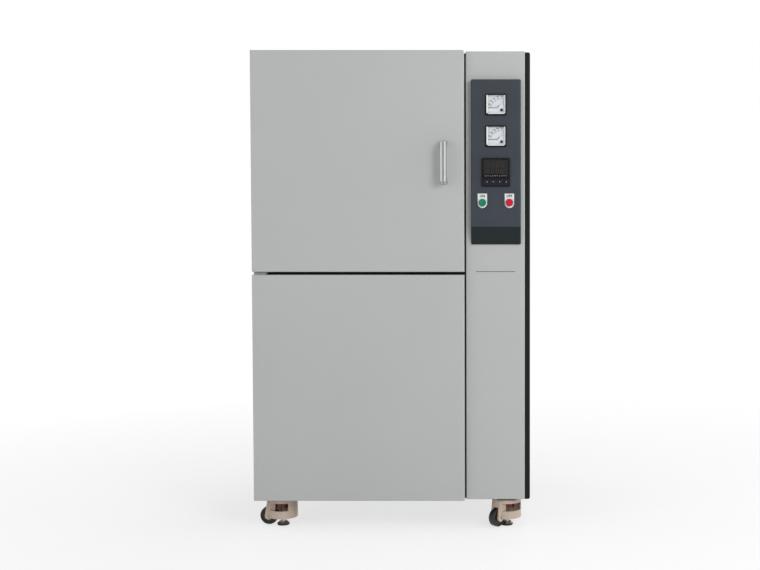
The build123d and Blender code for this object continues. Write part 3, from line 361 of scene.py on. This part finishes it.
def rubber_and_steel():
    """Feet: black rubber below, a plated stem with its thread above."""
    material, tree, shader = new_material("rubber_and_steel")
    pad_top = 0.0071
    plated = compared(tree, along(tree, "Z"), "GREATER_THAN", pad_top)
    stem = two_tones(tree, noise(tree, 40.0), linear(165, 165, 160), linear(200, 199, 192))
    rubber = two_tones(tree, noise(tree, 90.0), linear(22, 22, 23), linear(38, 38, 38))
    tree.links.new(mix(tree, plated, rubber, stem), shader.inputs["Base Color"])
    tree.links.new(plated, shader.inputs["Metallic"])
    rubber_rough, stem_rough = 0.8, 0.32
    tree.links.new(mapped(tree, plated, 0.0, 1.0, rubber_rough, stem_rough), shader.inputs["Roughness"])
    bump(tree, shader, noise(tree, 500.0), distance=0.0001)
    return material


def print_ink(name, colour, vary, gloss=0.5):
    """Matt printed colour with a fine tooth."""
    rough = (0.5, 0.6)
    return surface(name, colour, vary, cloud=300.0, rough=rough, grain=2000.0, relief=0.00001, gloss=gloss)


def button_cap(name, colour):
    """Glossy cap of a push-button."""
    rough = (0.2, 0.3)
    return surface(name, colour, vary=0.04, cloud=60.0, rough=rough, grain=700.0, relief=0.00002, gloss=0.3)


def display_red(name, colour):
    """Segment of the display, lit or unlit."""
    return surface(name, colour, vary=0.08, cloud=300.0, rough=(0.4, 0.5), grain=900.0, relief=0.00001)


light = light_paint()
dark = surface(
    "dark_paint",
    linear(26, 28, 27),
    vary=0.06,
    cloud=5.0,
    rough=(0.5, 0.62),
    grain=700.0,
    relief=0.00012,
    gloss=0.12,
)
frame_paint = surface(
    "frame_paint",
    linear(28, 30, 31),
    vary=0.08,
    cloud=8.0,
    rough=(0.5, 0.65),
    grain=500.0,
    relief=0.0001,
    gloss=0.2,
)
moulding = panel_moulding()
black = surface(
    "black_plastic",
    linear(8, 8, 10),
    vary=0.15,
    cloud=30.0,
    rough=(0.34, 0.46),
    grain=1200.0,
    relief=0.00005,
    gloss=0.15,
)
white = surface(
    "white_plastic",
    linear(222, 224, 224),
    vary=0.02,
    cloud=30.0,
    rough=(0.35, 0.45),
    grain=900.0,
    relief=0.00003,
)
dial_white = surface(
    "dial_white",
    linear(216, 221, 227),
    vary=0.01,
    cloud=25.0,
    rough=(0.45, 0.55),
    grain=1200.0,
    relief=0.00001,
)
green = button_cap("green_cap", linear(0, 122, 86))
red = button_cap("red_cap", linear(192, 10, 42))
handle_grey = grooved_grip()
print_grey = print_ink("print_grey", linear(70, 72, 74), vary=0.1)
print_black = print_ink("print_black", linear(12, 12, 13), vary=0.1, gloss=0.1)
print_white = print_ink("print_white", linear(212, 214, 216), vary=0.05)
film_blue = surface(
    "film_blue",
    linear(18, 22, 36),
    vary=0.08,
    cloud=60.0,
    rough=(0.3, 0.4),
    grain=900.0,
    relief=0.00003,
    gloss=0.2,
)
lit_red = display_red("lit_red", linear(150, 44, 40))
unlit_red = display_red("unlit_red", linear(74, 22, 22))
cream = surface(
    "cream_casting",
    linear(190, 172, 156),
    vary=0.12,
    cloud=24.0,
    rough=(0.35, 0.5),
    grain=500.0,
    relief=0.0001,
)
nylon = surface(
    "black_nylon",
    linear(24, 24, 25),
    vary=0.12,
    cloud=40.0,
    rough=(0.4, 0.55),
    grain=600.0,
    relief=0.00008,
)
dark_red = surface(
    "dark_red",
    linear(104, 14, 20),
    vary=0.1,
    cloud=60.0,
    rough=(0.16, 0.28),
    grain=500.0,
    relief=0.00004,
)
steel = surface(
    "plated_steel",
    linear(176, 176, 172),
    vary=0.06,
    cloud=60.0,
    rough=(0.25, 0.4),
    grain=400.0,
    relief=0.00003,
    metal=1.0,
)
alumina = surface(
    "alumina",
    linear(238, 232, 214),
    vary=0.04,
    cloud=30.0,
    rough=(0.4, 0.6),
    grain=350.0,
    relief=0.00012,
)
stainless = brushed("stainless", linear(186, 184, 180), direction=0, rough=(0.34, 0.42), vary=0.03)
aluminium = brushed("aluminium", linear(196, 198, 200), direction=2, rough=(0.3, 0.45), vary=0.05)
grey_plastic = surface(
    "grey_plastic",
    linear(196, 198, 194),
    vary=0.03,
    cloud=40.0,
    rough=(0.4, 0.5),
    grain=800.0,
    relief=0.00004,
)
zinc = zinc_sheet()
fibre = fibre_board()
pane = clear_window()

black_parts = ("panel_meters", "temperature_controller", "button_bodies", "fan_housing", "fan_rotor")
black_parts += ("cable_gland", "door_magnets")
zinc_parts = ("bottom_tray", "inner_partitions", "furnace_casing", "hinge_leaves", "mounting_plate")
zinc_parts += ("caster_plates",)
finishes = {
    light: ("door_skin", "lower_front_panel", "control_column", "hinge_brackets"),
    dark: ("left_side_panel", "right_side_panel", "top_cover", "rear_covers"),
    frame_paint: ("cabinet_frame",),
    moulding: ("control_housing",),
    black: black_parts,
    dial_white: ("meter_dials",),
    white: ("legend_plates",),
    grey_plastic: ("switchgear",),
    green: ("start_button",),
    red: ("stop_button",),
    print_black: ("ammeter_needle", "voltmeter_needle"),
    handle_grey: ("door_handle",),
    zinc: zinc_parts,
    stainless: ("furnace_front_plate", "door_liner"),
    fibre: ("backup_insulation", "chamber_lining", "door_plug", "door_gasket"),
    alumina: ("hearth_plate", "thermocouple"),
    heated_rod(): ("heating_elements",),
    aluminium: ("element_terminals", "power_regulator"),
    windings(): ("transformer",),
    pane: ("instrument_windows",),
    cream: tuple(corner + "_fork" for corner in corners),
    nylon: tuple(corner + "_wheel" for corner in corners),
    dark_red: tuple(corner + "_adjuster" for corner in corners),
    rubber_and_steel(): tuple(corner + "_foot" for corner in corners),
}
for finish, names in finishes.items():
    for name in names:
        nodes[name].data.materials.clear()
        nodes[name].data.materials.append(finish)


# Mesh helpers
def piece(name, mesh, material, body):
    """A mesh in the scene, on the body that it moves with."""
    item = bpy.data.objects.new(name, mesh)
    bpy.context.scene.collection.objects.link(item)
    mesh.materials.append(material)
    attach(item, body)
    return item


def facing(normal):
    """A turn that takes +Z to the given direction."""
    return Vector(normal).to_track_quat("Z", "Y").to_matrix().to_4x4()


def rings(build, loops, close_low=True):
    """Skins loops of points that have the same count, and caps the ends."""
    made = [[build.verts.new(point) for point in loop] for loop in loops]
    for low, high in zip(made, made[1:]):
        count = len(low)
        for index in range(count):
            following = (index + 1) % count
            build.faces.new((low[index], low[following], high[following], high[index]))
    if close_low:
        build.faces.new(list(reversed(made[0])))
    build.faces.new(made[-1])


def circle(radius, height, count=24):
    """Evenly spaced points about the Z axis at one height."""
    turns = [2 * math.pi * index / count for index in range(count)]
    return [(radius * math.cos(turn), radius * math.sin(turn), height) for turn in turns]


def finish_mesh(name, build):
    """The built form as a mesh, smooth but for its sharp edges."""
    sharp_from = 40
    mesh = bpy.data.meshes.new(name)
    bmesh.ops.recalc_face_normals(build, faces=build.faces)
    build.to_mesh(mesh)
    build.free()
    mesh.shade_smooth()
    mesh.set_sharp_from_angle(angle=math.radians(sharp_from))
    return mesh


def copies(name, draw, places, normal, material, body):
    """One piece that holds the same small form at several places, facing one way, each turned further."""
    turn_each = 1.7
    build = bmesh.new()
    for index, at in enumerate(places):
        start = len(build.verts)
        draw(build)
        build.verts.ensure_lookup_table()
        turn = Matrix.Translation(at) @ facing(normal) @ Matrix.Rotation(index * turn_each, 4, "Z")
        bmesh.ops.transform(build, matrix=turn, verts=build.verts[start:])
    return piece(name, finish_mesh(name, build), material, body)


def cross_head(radius, height):
    """A domed screw head with a cross recess."""
    arm_reach = 0.55 * radius
    arm_turn = 9
    arm_half = arm_reach * math.sin(math.radians(arm_turn))

    def draw(build):
        loops = [[] for _ in range(6)]
        for quarter in range(4):
            for degrees in range(-arm_turn, 90 - 2 * arm_turn, 2 * arm_turn):
                turn = math.radians(90 * quarter + degrees)
                reach = arm_reach
                if degrees > arm_turn:
                    reach = arm_half / math.sin(math.radians(min(degrees, 90 - degrees)))
                levels = (
                    (radius, 0.0),
                    (radius, 0.4 * height),
                    (0.82 * radius, 0.85 * height),
                    (0.6 * radius, height),
                    (reach, height),
                    (0.8 * reach, 0.35 * height),
                )
                for loop, (out, up) in zip(loops, levels):
                    loop.append((out * math.cos(turn), out * math.sin(turn), up))
        rings(build, loops, close_low=False)

    return draw


def hex_head(radius, height):
    """A hexagon bolt head on its washer."""
    washer_radius = 1.35 * radius
    washer_top = 0.15 * height
    sides = 6

    def draw(build):
        rings(build, [circle(washer_radius, 0.0), circle(washer_radius, washer_top)])
        head = [(radius, washer_top), (radius, 0.9 * height), (0.88 * radius, height)]
        rings(build, [circle(out, up, sides) for out, up in head])

    return draw


def slotted_disc(radius, height):
    """A round adjuster with a straight screwdriver slot."""
    slot_half = 0.16 * radius
    bevel = 0.15 * height
    steps = 12
    start = math.asin(slot_half / radius)

    def draw(build):
        for side in (-1, 1):
            arc = []
            for step in range(steps + 1):
                turn = start + (math.pi - 2 * start) * step / steps
                arc.append((radius * math.cos(turn), side * radius * math.sin(turn)))
            top = [(0.92 * x, y - side * bevel if abs(y) > 2 * slot_half else y) for x, y in arc]
            loops = ((arc, 0.0), (arc, height - bevel), (top, height))
            rings(build, [[(x, y, level) for x, y in outline] for outline, level in loops])
        rings(build, [circle(0.97 * radius, level) for level in (0.0, 0.45 * height)])

    return draw


def strokes(name, lines, y, thick, material):
    """Thin lines on a plane of the cabinet that faces the front, as (x, z, x, z, width)."""
    build = bmesh.new()
    for x0, z0, x1, z1, width in lines:
        course = Vector((x1 - x0, 0.0, z1 - z0)).normalized()
        across = Vector((-course.z, 0.0, course.x)) * width / 2
        start, end = Vector((x0, y, z0)), Vector((x1, y, z1))
        outline = [start - across, end - across, end + across, start + across]
        rings(build, [outline, [point - Vector((0.0, thick, 0.0)) for point in outline]])
    return piece(name, finish_mesh(name, build), material, "cabinet")


letter_thick = 0.00004
letter_bold = 0.03


def lettering(name, words, x, y, z, size):
    """Raised generic words or numbers in black on a plane of the cabinet that faces the front."""
    curve = bpy.data.curves.new(name, "FONT")
    curve.body = words
    curve.size = size
    curve.align_x = "CENTER"
    curve.align_y = "CENTER"
    curve.extrude = letter_thick
    curve.offset = letter_bold * size
    curve.materials.append(print_black)
    item = bpy.data.objects.new(name, curve)
    item.location = (x, y, z)
    item.rotation_euler = (math.pi / 2, 0.0, 0.0)
    bpy.context.scene.collection.objects.link(item)
    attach(item, "cabinet")
    return item


# Meter scales: an arc of fine strokes about the needle's pivot, with numbers outside it
pivot_right = 0.0197
pivot_down = 0.0185
scale_start = 171
scale_sweep = 80
scale_steps = 25
steps_per_number = 5
scale_radius = 0.0385
long_mark = 0.0432
short_mark = 0.0412
number_radius = 0.0474
number_size = 0.0076
thick_stroke = 0.0015
thin_stroke = 0.0006
ink = 0.00005


def scale_point(centre, radius, step):
    """A point on the scale's circle, as (x, z), at a step of the sweep."""
    turn = math.radians(scale_start - scale_sweep * step / scale_steps)
    return centre[0] + radius * math.cos(turn), centre[1] + radius * math.sin(turn)


def meter_scale(name, centre, numbers):
    """Marks across the sweep, a number at each fifth mark, and the arc that joins them."""
    lines = []
    for step in range(scale_steps + 1):
        numbered = step % steps_per_number == 0
        inner = scale_point(centre, scale_radius, step)
        outer = scale_point(centre, long_mark if numbered else short_mark, step)
        lines.append((*inner, *outer, thick_stroke if numbered else thin_stroke))
        if numbered:
            count = step // steps_per_number
            x, z = scale_point(centre, number_radius, step)
            lettering(f"{name}_number_{count}", numbers[count], x, dial_front - ink, z, number_size)
    for step in range(scale_steps):
        first = scale_point(centre, scale_radius, step)
        second = scale_point(centre, scale_radius, step + 1)
        lines.append((*first, *second, thin_stroke))
    strokes(name + "_scale", lines, dial_front, ink, print_black)


# Meter fronts: zero adjuster, the seam of the corner cover and a painted highlight in white along the pane's
# edges
zero_radius = 0.0048
zero_proud = 0.0006
# Painted highlight along the pane's edges: its inset, widths, depth and thickness
glint_inset = 0.0002
glint_width = 0.0028
glint_left = 0.0048
glint_depth = 0.0004
glint_thick = 0.0007
seam_up = 0.0208
seam_corner = 0.004
seam_end_right = 0.0135
seam_end_up = 0.0095
seam_width = 0.0024
slant_width = 0.0026
seam_thick = 0.0001


def meter_cover(name, centre, z):
    """The parts in front of one dial: adjuster, corner cover's seam and the painted highlight along the
    pane's left, right and lower edges.
    """
    at = (centre[0], cover_front, centre[1])
    screw = slotted_disc(zero_radius, cover_front - pane_front + zero_proud)
    copies(name + "_zero_screw", screw, [at], (0, -1, 0), black, "cabinet")
    edge = dial_half - glint_inset
    left, right, low = housing_x - edge, housing_x + edge, z - edge
    # White strokes along the pane's lower, right and left edges: a painted highlight where the clear cover's
    # edges catch the light
    pane_glint = [
        (left, low + glint_width / 2, right, low + glint_width / 2, glint_width),
        (right - glint_width / 2, low, right - glint_width / 2, z + edge, glint_width),
        (left + glint_left / 2, low, left + glint_left / 2, z + edge, glint_left),
    ]
    seam_z = z - dial_half + seam_up
    corner_x = housing_x + seam_corner
    seam = [
        (left + glint_left, seam_z, corner_x, seam_z, seam_width),
        (corner_x, seam_z, housing_x + seam_end_right, seam_z + seam_end_up, slant_width),
    ]
    strokes(name + "_cover_seam", seam, cover_front, seam_thick, print_black)
    # The white strokes are drawn in white plastic as a painted highlight on the pane's edges
    strokes(name + "_painted_pane_highlight", pane_glint, pane_front + glint_depth, glint_thick, white)


ammeter_numbers = ("0", "10", "20", "30", "40", "50")
voltmeter_numbers = ("0", "50", "100", "150", "200", "250")
meters = (("ammeter", meter_zs[0], ammeter_numbers), ("voltmeter", meter_zs[1], voltmeter_numbers))
for name, z, numbers in meters:
    pivot = (housing_x + pivot_right, z - pivot_down)
    meter_scale(name, pivot, numbers)
    meter_cover(name, pivot, z)

# Controller figures: seven segments each, dim behind the smoked window and darker where they are off
segments = {
    "a": (0, 1, 1, 1),
    "b": (1, 0.5, 1, 1),
    "c": (1, 0, 1, 0.5),
    "d": (0, 0, 1, 0),
    "e": (0, 0, 0, 0.5),
    "f": (0, 0.5, 0, 1),
    "g": (0, 0.5, 1, 0.5),
}
lit = {"2": "abged", "5": "afgcd", "0": "abcdef", " ": ""}
segment_gap = 0.08
segment_share = 0.14
lit_thick = 0.00015
unlit_thick = 0.0001
figure_depth = 0.0018
figure_pitch = 0.0165
figures_right = housing_x + 0.034
upper_z = controller_z + 0.018
lower_z = controller_z - 0.004


def figures(name, words, z_low, width, height):
    """A row of figures that ends at the right edge of the display."""
    on, off = [], []
    for index, letter in enumerate(words):
        left = figures_right - (len(words) - index) * figure_pitch
        for key, (x0, z0, x1, z1) in segments.items():
            ends = []
            for x, z, far_x, far_z in ((x0, z0, x1, z1), (x1, z1, x0, z0)):
                right_share = x + segment_gap * (far_x - x)
                up_share = z + segment_gap * (far_z - z)
                ends += [left + right_share * width, z_low + up_share * height]
            target = on if key in lit[letter] else off
            target.append((*ends, segment_share * height))
    base = controller_front + figure_depth
    strokes(name + "_lit", on, base, lit_thick, lit_red)
    strokes(name + "_unlit", off, base, unlit_thick, unlit_red)


figures("upper_figures", "  25", upper_z, width=0.0095, height=0.017)
figures("lower_figures", "   0", lower_z, width=0.0065, height=0.011)

# Controller front: a black strip with small marks below the display, then the dark blue film with its keys
mask_z = controller_z - 0.0125
mask_half = 0.042
mask_height = 0.011
mask_thick = 0.0005
mark_count = 10
mark_first = 0.036
mark_pitch = 0.0079
mark_length = 0.0032
mark_height = 0.0011
film_z = controller_z - 0.0345
film_half = 0.044
film_height = 0.0205
film_thick = 0.0001
key_z = controller_z - 0.034
key_offsets = (-0.0298, -0.0086, 0.0125, 0.0355)
key_half = 0.0018
key_rise = 0.0022
key_stroke = 0.0009
key_proud = 0.0008
key_thick = 0.00006

mask = [(housing_x - mask_half, mask_z, housing_x + mask_half, mask_z, mask_height)]
strokes("controller_mask", mask, controller_front + mask_thick, mask_thick, black)
marks = []
for index in range(mark_count):
    mark_x = housing_x - mark_first + mark_pitch * index
    marks.append((mark_x, mask_z, mark_x + mark_length, mask_z, mark_height))
strokes("controller_marks", marks, controller_front, ink, print_white)
film = [(housing_x - film_half, film_z, housing_x + film_half, film_z, film_height)]
strokes("controller_film", film, controller_front, film_thick, film_blue)
key_marks = []
for offset in key_offsets:
    key_x = housing_x + offset
    key_marks.append((key_x - key_half, key_z, key_x, key_z + key_rise, key_stroke))
    key_marks.append((key_x, key_z + key_rise, key_x + key_half, key_z, key_stroke))
key_front = controller_front - key_proud
strokes("controller_key_marks", key_marks, key_front, key_thick, print_white)

# Words on the switch plates and the bare printed rule on the column
word_up = 0.0222
word_size = 0.0115
rule_x = 0.3568
rule_z = 0.8935
rule_half = 0.06725
rule_height = 0.0022
rule_thick = 0.00006

for name, words, x in (("on_word", "ON", button_xs[0]), ("off_word", "OFF", button_xs[1])):
    lettering(name, words, x, legend_front - ink, button_z + word_up, word_size)
rule = [(rule_x - rule_half, rule_z, rule_x + rule_half, rule_z, rule_height)]
strokes("column_rule", rule, column_face, rule_thick, print_grey)

# Screws of the covers, the door's liner and the mouth plate
screws_in_row = 5


def row(start, end):
    """Evenly spaced points from one place to another."""
    first, last = Vector(start), Vector(end)
    return [first.lerp(last, index / (screws_in_row - 1)) for index in range(screws_in_row)]


cover_screw = cross_head(radius=0.0042, height=0.0022)
cover_inset = 0.012
cover_low, cover_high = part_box("rear_covers")
left, right, back = cover_low.x + cover_inset, cover_high.x - cover_inset, cover_high.y
lower_cover = (cover_low.z + cover_inset, door_foot - cover_inset)
upper_cover = (door_foot + cover_inset, cover_high.z - cover_inset)
back_screws = []
for low, high in (lower_cover, upper_cover):
    for x in (left, right):
        back_screws += row((x, back, low), (x, back, high))
    for z in (low, high):
        back_screws += row((left, back, z), (right, back, z))[1:-1]
copies("rear_cover_screws", cover_screw, back_screws, (0, 1, 0), steel, "cabinet")

lid_low, lid_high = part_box("top_cover")
lid_screws = []
for y in (lid_low.y + cover_inset, lid_high.y - cover_inset):
    lid_screws += row((lid_low.x + cover_inset, y, lid_high.z), (lid_high.x - cover_inset, y, lid_high.z))
copies("top_cover_screws", cover_screw, lid_screws, (0, 0, 1), steel, "cabinet")

sheet_inset = 0.02
sheet_end = 0.03
liner_low, liner_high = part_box("door_liner")
low, high = liner_low.z + sheet_end, liner_high.z - sheet_end
liner_screws = []
for x in (liner_low.x + sheet_inset, liner_high.x - sheet_inset):
    liner_screws += row((x, liner_high.y, low), (x, liner_high.y, high))
liner_screw = cross_head(radius=0.0038, height=0.0018)
copies("door_liner_screws", liner_screw, liner_screws, (0, 1, 0), steel, "door")

plate_low, plate_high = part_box("furnace_front_plate")
left, right = plate_low.x + sheet_end, plate_high.x - sheet_end
plate_screws = []
for z in (plate_low.z + sheet_inset, plate_high.z - sheet_inset):
    plate_screws += row((left, plate_low.y, z), (right, plate_low.y, z))
plate_screw = cross_head(radius=0.0038, height=0.0012)
copies("front_plate_screws", plate_screw, plate_screws, (0, -1, 0), steel, "cabinet")

# Four bolts under each caster's plate
bolt_out = 0.038
plate_half = 0.046
plate_sheet = 0.004
plates_low, plates_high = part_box("caster_plates")
bolt_z = plates_high.z - plate_sheet
plate_bolts = []
for x in (plates_low.x + plate_half, plates_high.x - plate_half):
    for y in (plates_low.y + plate_half, plates_high.y - plate_half):
        for across in (-bolt_out, bolt_out):
            plate_bolts += [(x + across, y - bolt_out, bolt_z), (x + across, y + bolt_out, bolt_z)]
bolt = hex_head(radius=0.005, height=0.0034)
copies("caster_bolts", bolt, plate_bolts, (0, 0, -1), steel, "cabinet")

# Floor: matt white that keeps the shadow near the furnace and fades into the backdrop further out
floor_half = 20
shadow_reach = 0.7
fade_reach = 3.0
shadow_share = 0.7
floor_corners = [(x * floor_half, y * floor_half, 0) for x, y in ((-1, -1), (1, -1), (1, 1), (-1, 1))]
floor_mesh = bpy.data.meshes.new("floor")
floor_mesh.from_pydata(floor_corners, [], [(0, 1, 2, 3)])
floor = bpy.data.objects.new("floor", floor_mesh)
bpy.context.scene.collection.objects.link(floor)


def seen_directly(tree):
    """One where the camera, a reflection or glass sees the surface, and nought for light that bounces."""
    path = tree.nodes.new("ShaderNodeLightPath")
    total = path.outputs["Is Camera Ray"]
    for name in ("Is Glossy Ray", "Is Transmission Ray"):
        both = tree.nodes.new("ShaderNodeMath")
        both.operation = "MAXIMUM"
        tree.links.new(total, both.inputs[0])
        tree.links.new(path.outputs[name], both.inputs[1])
        total = both.outputs["Value"]
    return total


def floor_finish():
    """Matt white by light, and plain white to the camera where the shadow has ended."""
    material = bpy.data.materials.new("floor")
    material.use_nodes = True
    tree = material.node_tree
    tree.nodes.clear()
    matt = tree.nodes.new("ShaderNodeBsdfDiffuse")
    pale = two_tones(tree, noise(tree, 3.0), (0.9, 0.9, 0.9), (0.93, 0.93, 0.93))
    tree.links.new(pale, matt.inputs["Color"])
    glow = tree.nodes.new("ShaderNodeEmission")
    distance = tree.nodes.new("ShaderNodeVectorMath")
    distance.operation = "LENGTH"
    tree.links.new(place(tree), distance.inputs[0])
    paling = mapped(tree, distance.outputs["Value"], shadow_reach, fade_reach, shadow_share, 1.0)
    share = tree.nodes.new("ShaderNodeMath")
    share.operation = "MULTIPLY"
    tree.links.new(paling, share.inputs[1])
    tree.links.new(seen_directly(tree), share.inputs[0])
    blend = tree.nodes.new("ShaderNodeMixShader")
    tree.links.new(share.outputs["Value"], blend.inputs["Fac"])
    tree.links.new(matt.outputs["BSDF"], blend.inputs[1])
    tree.links.new(glow.outputs["Emission"], blend.inputs[2])
    output = tree.nodes.new("ShaderNodeOutputMaterial")
    tree.links.new(blend.outputs["Shader"], output.inputs["Surface"])
    return material


floor_mesh.materials.append(floor_finish())

# Backdrop: white to the camera, dimmer as a light
backdrop_light = 0.55
world = bpy.data.worlds.new("studio")
bpy.context.scene.world = world
world.use_nodes = True
background = world.node_tree.nodes["Background"]
background.inputs["Color"].default_value = (1.0, 1.0, 1.0, 1.0)
level = mapped(world.node_tree, seen_directly(world.node_tree), 0.0, 1.0, backdrop_light, 1.0)
world.node_tree.links.new(level, background.inputs["Strength"])


# Lamps
def lamp(name, at, aim, size, power):
    """A square soft box at one place, turned to another."""
    data = bpy.data.lights.new(name, "AREA")
    data.size = size
    data.energy = power
    item = bpy.data.objects.new(name, data)
    item.location = at
    item.rotation_euler = (Vector(aim) - Vector(at)).to_track_quat("-Z", "Y").to_euler()
    bpy.context.scene.collection.objects.link(item)


lamp("key", at=(2.3, -3.4, 2.5), aim=(0.0, -0.4, 0.95), size=1.4, power=60)
lamp("fill", at=(-2.8, -3.0, 1.8), aim=(0.0, -0.3, 0.9), size=1.8, power=18)
lamp("back", at=(1.0, 3.4, 2.8), aim=(0.0, 0.4, 0.9), size=1.8, power=36)
lamp("side", at=(3.4, -1.0, 1.3), aim=(0.2, -0.4, 0.95), size=1.8, power=22)

# Camera: in front of the door's face, to the right of its middle and tilted slightly down
camera_x = 0.44
camera_height = 0.982
camera_distance = 3.6
camera_tilt = 2.125
camera_data = bpy.data.cameras.new("camera")
camera_data.lens = 50
camera_data.sensor_width = 36
camera_data.shift_x = -0.184
camera_data.clip_start = 0.1
camera_data.clip_end = 60
camera = bpy.data.objects.new("camera", camera_data)
camera.location = (camera_x, door_face - camera_distance, camera_height)
camera.rotation_euler = (math.radians(90 - camera_tilt), 0.0, 0.0)
bpy.context.scene.collection.objects.link(camera)
bpy.context.scene.camera = camera
bpy.context.scene.view_settings.view_transform = "Standard"
